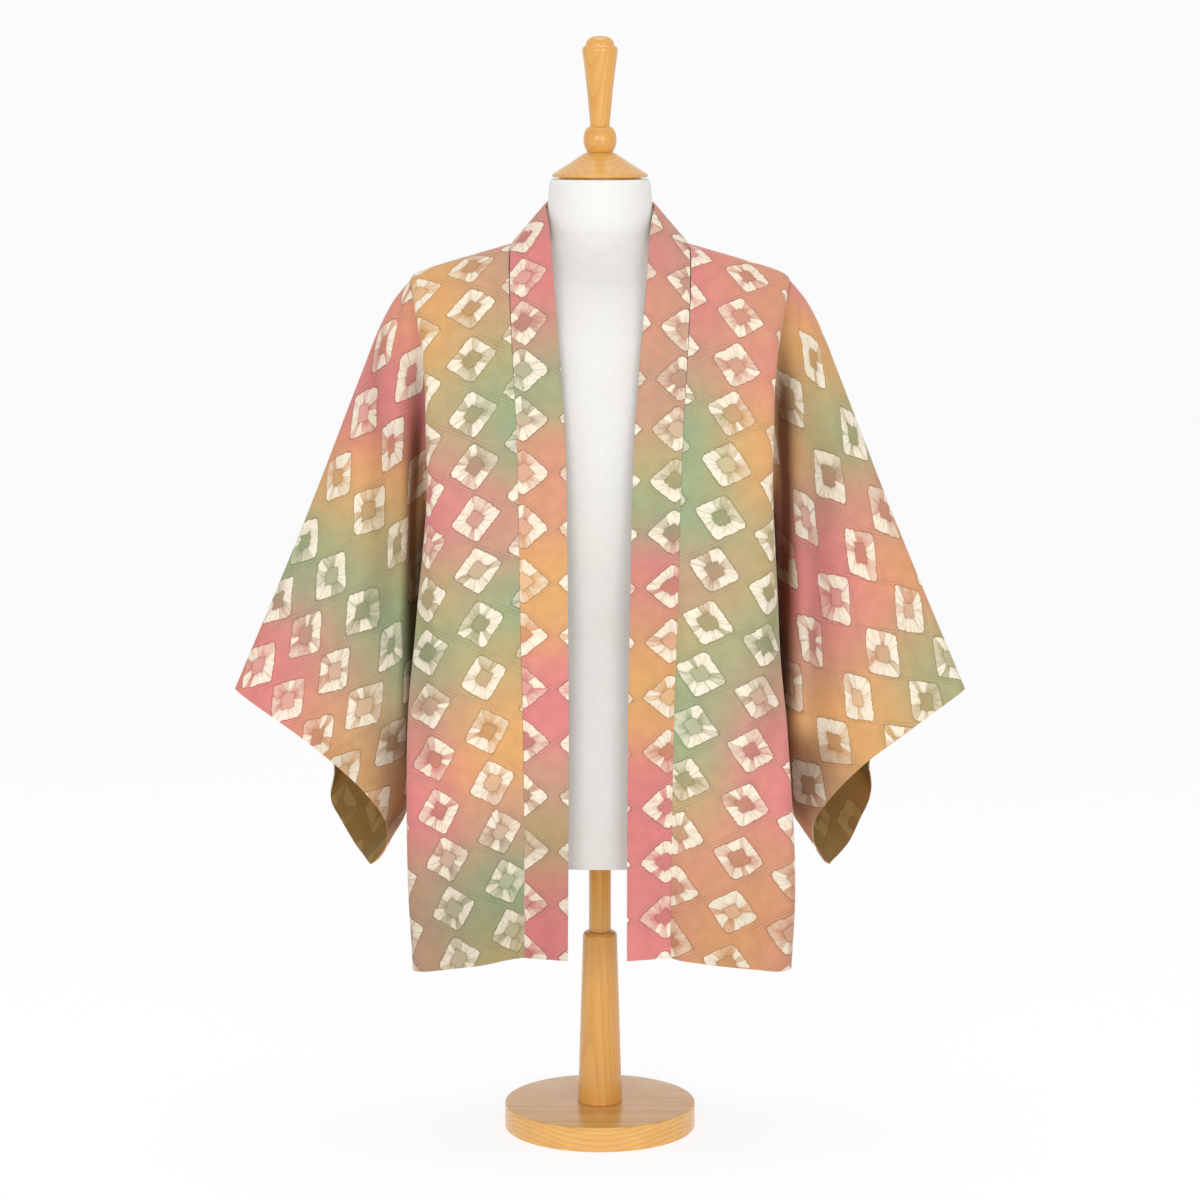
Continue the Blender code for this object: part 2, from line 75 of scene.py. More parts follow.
def readTable(table, start, where):
    # a table's first row heads its columns, and those heads that begin as asked are read
    heads, rows = table[0], table[1:]
    picked = [0] + [k for k in range(1, len(heads)) if heads[k].startswith(start)]
    return readRows([[row[k] for k in picked] for row in rows], where)


shortest = 1e-12  # keeps a vector of no length from dividing by nothing


def unit(vectors):
    return vectors / np.maximum(np.linalg.norm(vectors, axis=-1, keepdims=True), shortest)


def ease(share):
    share = np.clip(share, 0, 1)
    return share * share * (3 - 2 * share)


def runAlong(points, axis):
    # distance walked along the rows or columns of a grid of points
    steps = np.linalg.norm(np.diff(points, axis=axis), axis=-1)
    start = np.zeros_like(np.take(steps, [0], axis=axis))
    return np.concatenate([start, np.cumsum(steps, axis=axis)], axis=axis)


def gridNormals(grid):
    along, across = np.gradient(grid, axis=0), np.gradient(grid, axis=1)
    return unit(np.cross(across, along))


jacket = dict(
    wall=0.0014,
    seamGap=0.0003,
    centreSeamHalf=0.00019,
    underarmZ=0.680,
    shoulderTip=(0.2045, 0.941),
    armholeHalfDepth=0.066,
    armholeX=0.181,
    armholeSpreadsZ=0.80,
    sideHemZ=0.237,
    underarmUp=0.60,
    necklineEnd=0.11322,
    sideWallPull=(0.08, 0.8, 0.8),
    frontLean=0.003,
    leanFromZ=0.85,
    rowsBelow=40,
    rowsBeside=34,
    columns=54,
    nearSeam=0.5,
    bendRoom=0.05,
    rowSteps=120,
)

# front panel and collar, from the hem (up 0) to the shoulder ridge (up 1)
frontLevels = (
    ("up", "seamX", "seamY", "seamZ", "freeX", "freeY", "freeZ", "cornerX", "cornerY", "cornerZ"),
    (0.00, 0.0787, -0.1240, 0.2222, 0.0317, -0.1275, 0.2192, 0.268, -0.128, 0.192),
    (0.14, 0.0790, -0.1240, 0.3300, 0.0314, -0.1275, 0.3290, 0.270, -0.128, 0.313),
    (0.30, 0.0800, -0.1240, 0.4550, 0.0314, -0.1275, 0.4550, 0.262, -0.127, 0.444),
    (0.45, 0.0830, -0.1230, 0.5720, 0.0325, -0.1270, 0.5720, 0.238, -0.125, 0.566),
    (0.60, 0.0852, -0.1210, 0.6900, 0.0341, -0.1260, 0.6900, 0.214, -0.121, 0.684),
    (0.70, 0.0873, -0.1150, 0.7720, 0.0362, -0.1210, 0.7750, 0.204, -0.118, 0.763),
    (0.80, 0.0915, -0.1010, 0.8480, 0.0414, -0.1110, 0.8520, 0.207, -0.110, 0.836),
    (0.88, 0.0955, -0.0760, 0.9120, 0.0480, -0.0860, 0.9280, 0.208, -0.088, 0.890),
    (0.95, 0.0975, -0.0370, 0.9645, 0.0530, -0.0510, 0.9860, 0.201, -0.047, 0.930),
    (0.98, 0.0965, -0.0160, 0.9778, 0.0563, -0.0270, 1.0100, 0.194, -0.018, 0.950),
    (1.00, 0.0945, 0.0000, 0.9810, 0.0590, -0.0080, 1.0225, 0.187, 0.000, 0.954),
)

# back panel, from the shoulder ridge (down 0) to the hem (down 1)
backLevels = (
    ("down", "innerX", "innerY", "innerZ", "cornerX", "cornerY", "cornerZ"),
    (0.00, 0.0945, 0.0000, 0.9810, 0.187, 0.000, 0.954),
    (0.02, 0.0915, 0.0170, 0.9810, 0.193, 0.018, 0.951),
    (0.04, 0.0850, 0.0330, 0.9790, 0.199, 0.040, 0.934),
    (0.08, 0.0520, 0.0640, 0.9760, 0.204, 0.077, 0.902),
    (jacket["necklineEnd"], 0.0003, 0.0780, 0.9700, 0.206, 0.100, 0.866),
    (0.22, 0.0000, 0.1000, 0.8950, 0.204, 0.114, 0.800),
    (0.40, 0.0000, 0.1140, 0.7550, 0.212, 0.122, 0.690),
    (0.65, 0.0000, 0.1100, 0.5500, 0.246, 0.122, 0.510),
    (1.00, 0.0000, 0.1180, 0.2700, 0.268, 0.126, 0.258),
)

# the collar's free edge behind the neck: down, then x, y, z
collarBack = (
    (0.00, 0.0590, -0.0080, 1.0225),
    (0.04, 0.0530, 0.0330, 1.0265),
    (0.08, 0.0300, 0.0590, 1.0245),
    (jacket["necklineEnd"], 0.0000, 0.0690, 1.0205),
)


def armholePoint(turn, front):
    # turn is 0 at the shoulder tip and 1 at the underarm
    angle = math.pi * turn
    tipX, tipZ = jacket["shoulderTip"]
    middle, half = (tipZ + jacket["underarmZ"]) / 2, (tipZ - jacket["underarmZ"]) / 2
    z = middle + half * math.cos(angle)
    y = jacket["armholeHalfDepth"] * math.sin(angle) * (-1 if front else 1)
    rise = max(0.0, (z - jacket["armholeSpreadsZ"]) / (tipZ - jacket["armholeSpreadsZ"]))
    return np.array([jacket["armholeX"] + (tipX - jacket["armholeX"]) * rise**2, y, z])


def foldSteps(count):
    # shares of the way from the sleeve's top fold to its bottom fold, closer at the folds
    return (1 - np.cos(np.pi * np.linspace(0, 1, count + 1))) / 2


def outerEdge(up, front):
    # side seam below the underarm, armhole above it
    halfGap = jacket["seamGap"] / 2 * (-1 if front else 1)
    if up < jacket["underarmUp"]:
        rise = (jacket["underarmZ"] - jacket["sideHemZ"]) * up / jacket["underarmUp"]
        return np.array([jacket["armholeX"], halfGap, jacket["sideHemZ"] + rise])
    turn = (1 - up) / (1 - jacket["underarmUp"])
    return armholePoint(turn, front) + np.array([0, halfGap * (turn > 0.5), 0])


def lean(points):
    # both fronts hang a little towards the wearer's right lower down
    share = np.clip((jacket["leanFromZ"] - points[..., 2]) / (jacket["leanFromZ"] - jacket["sideHemZ"]), 0, 1)
    front = np.clip(-points[..., 1] / jacket["armholeHalfDepth"] - 1, 0, 1)
    moved = points.copy()
    moved[..., 0] -= jacket["frontLean"] * share * front
    return moved


def panelRow(inner, corner, outer):
    # a level line that stays flat, turns at the corner and ends at the outer edge
    t = np.linspace(0, 1, jacket["rowSteps"] + 1)[:, None]
    pastCorner = outer + (corner - outer) * np.array(jacket["sideWallPull"])
    line = (1 - t) ** 3 * inner + 3 * (1 - t) ** 2 * t * corner
    line = line + 3 * (1 - t) * t**2 * pastCorner + t**3 * outer
    steps = np.diff(line, axis=0)
    heading = unit(steps)
    turned = np.arccos(np.clip((heading[1:] * heading[:-1]).sum(axis=1), -1, 1))
    run = np.linalg.norm(steps, axis=1) + jacket["bendRoom"] * np.append(turned, 0)
    run = np.concatenate([[0], np.cumsum(run)])
    even = np.linspace(0, 1, jacket["columns"])
    spots = run[-1] * (jacket["nearSeam"] * even + (1 - jacket["nearSeam"]) * even**2)
    return np.stack([np.interp(spots, run, line[:, k]) for k in range(3)], axis=1)


def panelLevels():
    below = np.linspace(0, jacket["underarmUp"], jacket["rowsBelow"], endpoint=False)
    beside = 1 - (1 - jacket["underarmUp"]) * foldSteps(jacket["rowsBeside"])[::-1]
    return np.concatenate([below, beside])


def panelSheet():
    ups = panelLevels()
    rows = []
    for up in ups:
        seam = readTable(frontLevels, "seam", up)
        corner = readTable(frontLevels, "corner", up)
        rows.append(panelRow(seam, corner, outerEdge(up, True)))
    for down in (1 - ups)[-2::-1]:
        inner = readTable(backLevels, "inner", down)
        inner[0] = max(inner[0], jacket["centreSeamHalf"])
        corner = readTable(backLevels, "corner", down)
        rows.append(panelRow(inner, corner, outerEdge(1 - down, False)))
    points = np.array(rows)
    # laid flat: across from the centre line, along from the front hem over the shoulder
    across = points[:, :1, 0] + runAlong(points, 1)
    along = points[:1, :, 2] + runAlong(points, 0)
    return points, np.stack([across, along], axis=-1)


collar = dict(
    wall=0.0026,
    standRoom=0.0019,
    turnedUp=0.95,
    columns=12,
    edgeRound=0.0011,
    lastRowRoom=0.001,
    waveSize=(0.09, 0.16),
    waveHeight=0.0030,
    waveSeeds=dict(left=5.5, right=1.7),
    freeAtSeam=0.02,
    hangsBelow=0.85,
    hangsOver=0.2,
    insideY=0.02,
    insideTop=0.95,
    dyeReach=0.040,
)


def collarSheet():
    ups = panelLevels()
    downs = (1 - ups)[-2::-1]
    downs = np.append(downs[downs < jacket["necklineEnd"] - collar["lastRowRoom"]], jacket["necklineEnd"])
    seam = np.concatenate([
        readTable(frontLevels, "seam", ups),
        readTable(backLevels, "inner", downs),
    ])
    free = np.concatenate([
        readTable(frontLevels, "free", ups),
        readRows(collarBack, downs),
    ])
    turned = (ups - jacket["underarmUp"]) / (collar["turnedUp"] - jacket["underarmUp"])
    bend = np.concatenate([np.clip(turned, 0, 1) ** 3, np.ones(len(downs))])
    seam = seam + unit(free - seam) * (jacket["seamGap"] + collar["standRoom"] * bend)[:, None]
    share = np.linspace(0, 1, collar["columns"])[None, :, None]
    half = seam[:, None, :] * (1 - share) + free[:, None, :] * share
    across = runAlong(half, 1)
    along = half[:1, :1, 2] + np.repeat(runAlong(half, 0)[:, :1], collar["columns"], axis=1)
    return half, np.stack([across, along], axis=-1)


sleeve = dict(
    rows=66,
    nearArmhole=0.42,
    foldCount=38,
    stepShoulder=0.0007,
    stepUnderarm=0.0022,
    foldFadeOut=0.7,
    foldFadeDown=0.8,
    foldStartsOver=0.25,
    foldEndsAt=1.25,
    foldEndsOver=0.33,
    shiftDiesOver=0.11,
    waveFreeTop=0.10,
    waveFreeLow=0.04,
    waveSize=(0.060, 0.22),
    waveHeight=0.009,
    waveSeeds=dict(left=4.1, right=9.6),
    waveFreeHead=0.3,
    creaseFreeHead=0.05,
    dyeReach=0.042,
    edgeRound=0.0004,
)

# the sleeve's four edges: share of the way out or down, then x, y, z
topFold = (
    (0.000, 0.2045, 0.000, 0.9410),
    (0.054, 0.2215, 0.000, 0.9205),
    (0.125, 0.2380, 0.001, 0.8900),
    (0.213, 0.2543, 0.003, 0.8500),
    (0.588, 0.3225, 0.008, 0.6788),
    (1.000, 0.4017, 0.010, 0.4925),
)
bottomFold = (
    (0.00, 0.1810, 0.000, 0.6800),
    (0.20, 0.1890, 0.003, 0.6000),
    (0.45, 0.1960, 0.005, 0.5000),
    (0.65, 0.2035, 0.005, 0.4200),
    (0.81, 0.2135, 0.003, 0.3594),
    (1.00, 0.2537, 0.000, 0.2971),
)
cuffFront = (
    (0.000, 0.4017, 0.010, 0.4925),
    (0.012, 0.3989, 0.005, 0.4905),
    (0.060, 0.3868, -0.001, 0.4822),
    (0.323, 0.3200, -0.020, 0.4372),
    (0.445, 0.2900, -0.035, 0.4172),
    (0.556, 0.2645, -0.050, 0.3974),
    (0.660, 0.2434, -0.058, 0.3740),
    (0.740, 0.2315, -0.054, 0.3520),
    (0.829, 0.2328, -0.036, 0.3320),
    (1.000, 0.2537, 0.000, 0.2971),
)
cuffBack = (
    (0.000, 0.4017, 0.010, 0.4925),
    (0.012, 0.3987, 0.015, 0.4900),
    (0.060, 0.3860, 0.021, 0.4790),
    (0.220, 0.3436, 0.032, 0.4420),
    (0.420, 0.2986, 0.046, 0.4020),
    (0.550, 0.3039, 0.068, 0.3631),
    (0.680, 0.2926, 0.066, 0.3355),
    (0.830, 0.2736, 0.040, 0.3090),
    (1.000, 0.2537, 0.000, 0.2971),
)

# hanging folds next to the body, as lines down the sleeve:
# x and z at the top, x and z lower down, width, push outwards
frontFolds = (
    (0.208, 0.90, 0.224, 0.40, 0.018, 0.009),
    (0.232, 0.86, 0.247, 0.42, 0.014, -0.006),
)
backFolds = (
    (0.208, 0.88, 0.226, 0.42, 0.013, 0.014),
    (0.236, 0.84, 0.256, 0.44, 0.014, -0.008),
)


def sleeveOuts():
    # shares of the way from the armhole to the cuff, closer beside the armhole
    even = np.linspace(0, 1, sleeve["rows"])
    return sleeve["nearArmhole"] * even + (1 - sleeve["nearArmhole"]) * even**2


def sleeveLayer(cuff, front):
    # one layer spread between its four edges, with its hanging folds
    out, down = sleeveOuts(), foldSteps(sleeve["foldCount"])
    top = readRows(topFold, out)[:, None]
    low = readRows(bottomFold, out)[:, None]
    far = readRows(cuff, down)[None]
    near = np.array([armholePoint(d, front) for d in down])[None]
    o, d = out[:, None, None], down[None, :, None]
    corners = (1 - o) * (1 - d) * near[:, :1] + (1 - o) * d * near[:, -1:]
    corners = corners + o * (1 - d) * far[:, :1] + o * d * far[:, -1:]
    layer = (1 - o) * near + o * far + (1 - d) * top + d * low - corners
    fade = np.sin(np.pi * np.clip(out, 0, 1)) ** sleeve["foldFadeOut"]
    inside = np.sin(np.pi * down) ** sleeve["foldFadeDown"]
    for xTop, zTop, xLow, zLow, width, push in frontFolds if front else backFolds:
        run = (zTop - layer[..., 2]) / (zTop - zLow)
        x = xTop + (xLow - xTop) * run
        starts = np.clip(run / sleeve["foldStartsOver"], 0, 1)
        ends = np.clip((sleeve["foldEndsAt"] - run) / sleeve["foldEndsOver"], 0, 1)
        height = push * np.exp(-(((layer[..., 0] - x) / width) ** 2)) * starts * ends
        layer[..., 1] += (-1 if front else 1) * height * inside[None] * fade[:, None]
    return layer


def sleeveSheet():
    # columns run from the bottom fold up the front, over the top fold and down the back
    front, back = sleeveLayer(cuffFront, True), sleeveLayer(cuffBack, False)
    flatFront, flatBack = layFlat(front, False), layFlat(back, True)
    points = np.concatenate([front[:, ::-1], back[:, 1:]], axis=1)
    flat = np.concatenate([flatFront[:, ::-1], flatBack[:, 1:]], axis=1)
    tipZ = jacket["shoulderTip"][1]
    turn = (tipZ - points[0, :, 2]) / (tipZ - jacket["underarmZ"])
    fade = (1 - sleeveOuts())[:, None] ** 2
    grows = sleeve["stepUnderarm"] - sleeve["stepShoulder"]
    step = sleeve["stepShoulder"] + grows * np.sqrt(np.clip(turn, 0, 1))
    points[..., 0] += step[None] * fade
    points[..., 2] -= (jacket["seamGap"] * (1 - turn))[None] * fade
    return points, flat


def layFlat(layer, turnOver):
    # unrolls each ring from the top fold, the back layer turned over about that fold
    steps = np.diff(layer, axis=1)
    length = np.linalg.norm(steps, axis=-1, keepdims=True)
    flatSteps = unit(steps[..., [0, 2]]) * length
    start = layer[:, :1][..., [0, 2]]
    flat = np.concatenate([start, start + np.cumsum(flatSteps, axis=1)], axis=1)
    if not turnOver:
        return flat
    tip, end = layer[0, 0, [0, 2]], layer[-1, 0, [0, 2]]
    axis = unit(end - tip)
    turned = 2 * ((flat - tip) @ axis)[..., None] * axis - (flat - tip) + tip
    # the two layers meet at the fold, and the shift this needs dies out away from it
    away = runAlong(layer, 1)[..., None] / sleeve["shiftDiesOver"]
    return turned + (start - turned[:, :1]) * (1 - ease(away))


creaseEnds = 0.25  # the share of a crease over which it dies out


def creaseHeights(flat, creases):
    # soft ridges and troughs, each from one place on the cut to another
    height = np.zeros(flat.shape[:2])
    for startU, startV, endU, endV, width, rise in creases:
        start, run = np.array([startU, startV]), np.array([endU - startU, endV - startV])
        offset = flat - start
        t = (offset @ run) / (run @ run)
        aside = np.abs(offset[..., 0] * run[1] - offset[..., 1] * run[0]) / np.linalg.norm(run)
        ends = ease(t / creaseEnds) * ease((1 - t) / creaseEnds)
        height += rise * np.exp(-((aside / width) ** 2)) * ends
    return height


def hangingWaves(flat, piece, side):
    # broad, uneven swells of cloth that hangs free
    across, along = piece["waveSize"]
    seed = piece["waveSeeds"][side]
    heights = [noise.noise(Vector((u / across, v / along, seed))) for u, v in flat.reshape(-1, 2)]
    return piece["waveHeight"] * np.array(heights).reshape(flat.shape[:2])


# shares of pink, orange and green in each dye
dyes = {
    "pink": (1.0, 0.0, 0.0),
    "orange": (0.0, 1.0, 0.0),
    "green": (0.0, 0.0, 1.0),
    "salmon": (0.50, 0.38, 0.12),
    "taupe": (0.50, 0.10, 0.40),
    "olive": (0.0, 0.45, 0.55),
    "brown": (0.35, 0.35, 0.30),
}
bareShare = 1e-9  # keeps cloth that lies far from every patch from dividing by nothing


def dyesAndPaintedShade(flat, patches, shadeLines, reach):
    # shares of the three dyes, and the share of painted shade that darkens each place
    total = np.full(flat.shape[:2], bareShare)
    weights = np.zeros(flat.shape[:2] + (3,))
    for dye, places in patches.items():
        for place in places:
            near = np.exp(-((flat - np.array(place)) ** 2).sum(axis=-1) / reach**2)
            total += near
            weights += near[..., None] * np.array(dyes[dye])
    # painted shade, laid along lines on the cut as the creases are
    paintedShade = np.clip(creaseHeights(flat, shadeLines), 0, 1)
    return np.concatenate([weights / total[..., None], paintedShade[..., None]], axis=-1)


def countCells(flat, lay):
    # how many cells across and down each place lies, with the lattice drifting along the piece
    key = flat @ np.array(lay["driftBy"])
    off = flat - np.array(lay["square"]) - readRows(lay["drift"], key)
    cell = np.array([lay["across"], lay["down"]]).T
    return off @ np.linalg.inv(cell).T + np.array(lay["count"])


def squareShapes(flat, lay):
    # turns a step in cells into shares of the half edges of a square at that place
    step, cells = 1e-4, countCells(flat, lay)
    moved = [(countCells(flat + step * way, lay) - cells) / step for way in np.eye(2)]
    key = flat @ np.array(lay["driftBy"])
    edges = readRows(lay["edges"], key)
    halfEdges = np.stack([edges[..., :2], edges[..., 2:]], axis=-1) / 2
    return np.linalg.inv(np.stack(moved, axis=-1) @ halfEdges).reshape(flat.shape[:2] + (4,))


def layPrint(flat, lay, patches, shadeLines, reach):
    # all that the print's material reads at each place on the cut, painted shade among it
    return dict(
        squares=countCells(flat, lay), shapes=squareShapes(flat, lay),
        # the fourth value of dyes is the share of painted shade
        dyes=dyesAndPaintedShade(flat, patches, shadeLines, reach),
    )


shell = dict(mergeWithin=1e-5, rimSegments=2, rimAngle=50)


def meshObject(name, bm, sharpDegrees=None):
    mesh = bpy.data.meshes.new(name)
    bm.to_mesh(mesh)
    bm.free()
    mesh.shade_smooth()
    if sharpDegrees:
        mesh.set_sharp_from_angle(angle=math.radians(sharpDegrees))
    piece = bpy.data.objects.new(name, mesh)
    bpy.context.scene.collection.objects.link(piece)
    return piece


def wrapGrid(points, flat, printed=None):
    # a grid moved onto the given places, with its cut, its print and its painted shade kept at its face
    # corners
    rows, columns = points.shape[:2]
    bm = bmesh.new()
    bmesh.ops.create_grid(bm, x_segments=columns - 1, y_segments=rows - 1, size=1)
    spots = {}
    for vert in bm.verts:
        spots[vert.index] = (
            round((vert.co.y + 1) / 2 * (rows - 1)),
            round((vert.co.x + 1) / 2 * (columns - 1)),
        )
        vert.co = points[spots[vert.index]]
    cutLayer = bm.loops.layers.uv.new("cut")
    if printed:
        squareLayer = bm.loops.layers.uv.new("squares")
        shapeLayer = bm.loops.layers.float_color.new("shapes")
        dyeAndShadeLayer = bm.loops.layers.float_color.new("dyes")
    for face in bm.faces:
        for loop in face.loops:
            spot = spots[loop.vert.index]
            loop[cutLayer].uv = flat[spot]
            if printed:
                loop[squareLayer].uv = printed["squares"][spot]
                loop[shapeLayer] = tuple(printed["shapes"][spot])
                loop[dyeAndShadeLayer] = tuple(printed["dyes"][spot])
    bmesh.ops.remove_doubles(bm, verts=bm.verts, dist=shell["mergeWithin"])
    bmesh.ops.recalc_face_normals(bm, faces=bm.faces)
    return bm


def turnOutwards(bm, outwardsOf):
    # flips the sheet if most of it faces the given inner line
    facing = 0.0
    for face in bm.faces:
        middle = face.calc_center_median()
        facing += face.normal.dot(middle - outwardsOf(middle)) * face.calc_area()
    if facing < 0:
        bmesh.ops.reverse_faces(bm, faces=bm.faces)


def clothPiece(name, node, kind, points, flat, printed, wall, edgeRound, outwardsOf):
    bm = wrapGrid(points, flat, printed)
    turnOutwards(bm, outwardsOf)
    piece = meshObject(name, bm)
    for material in prints[kind]:
        piece.data.materials.append(material)
    smooth = piece.modifiers.new("smooth", "SUBSURF")
    smooth.levels = smooth.render_levels = 1
    smooth.boundary_smooth = "PRESERVE_CORNERS"
    thick = piece.modifiers.new("wall", "SOLIDIFY")
    thick.thickness = wall
    thick.offset = 0
    thick.material_offset = 1
    thick.material_offset_rim = 2
    rim = piece.modifiers.new("rim", "BEVEL")
    rim.width = edgeRound
    rim.segments = shell["rimSegments"]
    rim.limit_method = "ANGLE"
    rim.angle_limit = math.radians(shell["rimAngle"])
    rim.harden_normals = True
    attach(piece, "root")
    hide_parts(node)
    return piece


current = dict(tree=None)  # the shader tree being filled


class signal:
    # a shader output that adds and multiplies as a number does, each step being a Math node
    def __init__(self, socket):
        self.socket = socket

    __add__ = lambda self, other: calc("ADD", self, other)
    __sub__ = lambda self, other: calc("SUBTRACT", self, other)
    __rsub__ = lambda self, other: calc("SUBTRACT", other, self)
    __mul__ = lambda self, other: calc("MULTIPLY", self, other)
    __truediv__ = lambda self, other: calc("DIVIDE", self, other)
    __rtruediv__ = lambda self, other: calc("DIVIDE", other, self)
    __pow__ = lambda self, other: calc("POWER", self, other)
    __abs__ = lambda self: calc("ABSOLUTE", self)


def feed(sockets, values):
    # values are signals or constants, by the name or place of their socket
    for label, value in values.items():
        if isinstance(value, signal):
            current["tree"].links.new(value.socket, sockets[label])
        else:
            sockets[label].default_value = value


def addNode(kind, values=None, **settings):
    node = current["tree"].nodes.new("ShaderNode" + kind)
    for label, value in settings.items():
        setattr(node, label, value)
    feed(node.inputs, values or {})
    return node


def calc(operation, *values, clamp=False):
    node = addNode("Math", dict(enumerate(values)), operation=operation, use_clamp=clamp)
    return signal(node.outputs[0])


def vectorCalc(operation, first, second=(0, 0, 0)):
    last = "Scale" if operation == "SCALE" else 1
    node = addNode("VectorMath", {0: first, last: second}, operation=operation)
    return signal(node.outputs["Value" if operation == "LENGTH" else "Vector"])


def split(vector):
    return [signal(output) for output in addNode("SeparateXYZ", {0: vector}).outputs]


def join(x, y, z=0.0):
    return signal(addNode("CombineXYZ", {0: x, 1: y, 2: z}).outputs[0])


def between(value, low, high, start=0.0, end=1.0):
    # eases from start to end as the value goes from low to high
    values = dict(enumerate((value, low, high, start, end)))
    return signal(addNode("MapRange", values, interpolation_type="SMOOTHSTEP").outputs[0])


def mixColours(share, first, second, blend="MIX"):
    values = {0: share, 6: first, 7: second}  # the places of factor, A and B for colours
    return signal(addNode("Mix", values, data_type="RGBA", blend_type=blend, clamp_factor=True).outputs[2])


def scaled(colour, factor):
    return mixColours(1.0, colour, join(factor, factor, factor), "MULTIPLY")


def cloudy(vector, scale, detail, output="Fac"):
    return signal(addNode("TexNoise", dict(Vector=vector, Scale=scale, Detail=detail)).outputs[output])


def drifting(vector, scale, detail):
    # a vector that wanders either way about nothing
    return vectorCalc("SUBTRACT", cloudy(vector, scale, detail, "Color"), (0.5, 0.5, 0.5))


def lotsAt(place):
    # three random shares for each place
    return split(signal(addNode("TexWhiteNoise", dict(Vector=place)).outputs["Color"]))


def uvPlace(name):
    return signal(addNode("UVMap", uv_map=name).outputs[0])


def bumpFrom(height, strength, distance):
    return signal(addNode("Bump", dict(Strength=strength, Distance=distance, Height=height)).outputs[0])


def newGroup(name, inputs, outputs):
    # inputs are given with their defaults, outputs as words
    tree = bpy.data.node_groups.new(name, "ShaderNodeTree")
    for label, default in inputs.items():
        kind = {3: "Vector", 4: "Color"}[len(default)] if isinstance(default, tuple) else "Float"
        socket = tree.interface.new_socket(label, in_out="INPUT", socket_type="NodeSocket" + kind)
        socket.default_value = default
    for label in outputs.split():
        kind = "Color" if label == "colour" else "Float"
        tree.interface.new_socket(label, in_out="OUTPUT", socket_type="NodeSocket" + kind)
    current["tree"] = tree
    given = {output.name: signal(output) for output in tree.nodes.new("NodeGroupInput").outputs}
    return tree, given, tree.nodes.new("NodeGroupOutput").inputs


def useGroup(group, **values):
    node = addNode("Group", node_tree=group)
    feed(node.inputs, values)
    return {output.name: signal(output) for output in node.outputs}


# noises are scale and detail, ramps are from, to and the values there, seeds only shuffle, and
# the rest are shares of a cell or of a square's half width
tie = dict(
    swayNoise=(60, 2), swayBoth=2.0, slip=0.03,
    outerPower=9.0, corePower=6.0, ragNoise=(260, 2), outerRag=0.16, coreRag=0.12,
    turn=0.08, waves=6 * math.pi, waveSeed=20.0, waveDepth=0.38, bendNoise=(140, 1), bend=0.22,
    cellSeed=3.0, cellStride=17.0, wedgeSeed=8.0, notch=0.05, chip=0.10, coreVaries=0.07,
    coreRamp=(-0.035, 0.035, 1.0, 0.0), ringRamp=(0.975, 1.01, 1.0, 0.0),
    tintedOver=0.04, dyeLotRamp=(0.0, 1.0, 0.55, 1.0), dyeOutRamp=(0.4, 1.05, 1.0, 0.72),
    dyeEdgeRamp=(0.0, 0.08, 0.5, 1.0), dyed=0.92,
    rayAround=2.2, rayOut=1.4, rayStride=3.1, rayNoise=(1.6, 2), rayRamp=(0.42, 0.70), rays=0.30,
    gapRamp=(0.01, 0.10, 1.0, 0.0), gapLotRamp=(0.0, 1.0, 0.2, 1.0), gaps=0.58, gapDip=0.5,
    nearCoreRamp=(0.0, 0.30, 0.20, 0.0),
    outlineAt=1.025, outlineRamp=(0.012, 0.048, 1.0, 0.0), coreLineRamp=(0.01, 0.065, 1.0, 0.0),
    coreLine=0.9, doubleRamp=(0.005, 0.022, 1.0, 0.0), ridgeRamp=(0.002, 0.016, 1.0, 0.0),
    shownNoise=(22, 1), shownRamp=(0.35, 0.65, 0.40, 1.0), clearRamp=(1.02, 1.10),
    outlineDip=0.6, latticeRise=0.7,
)


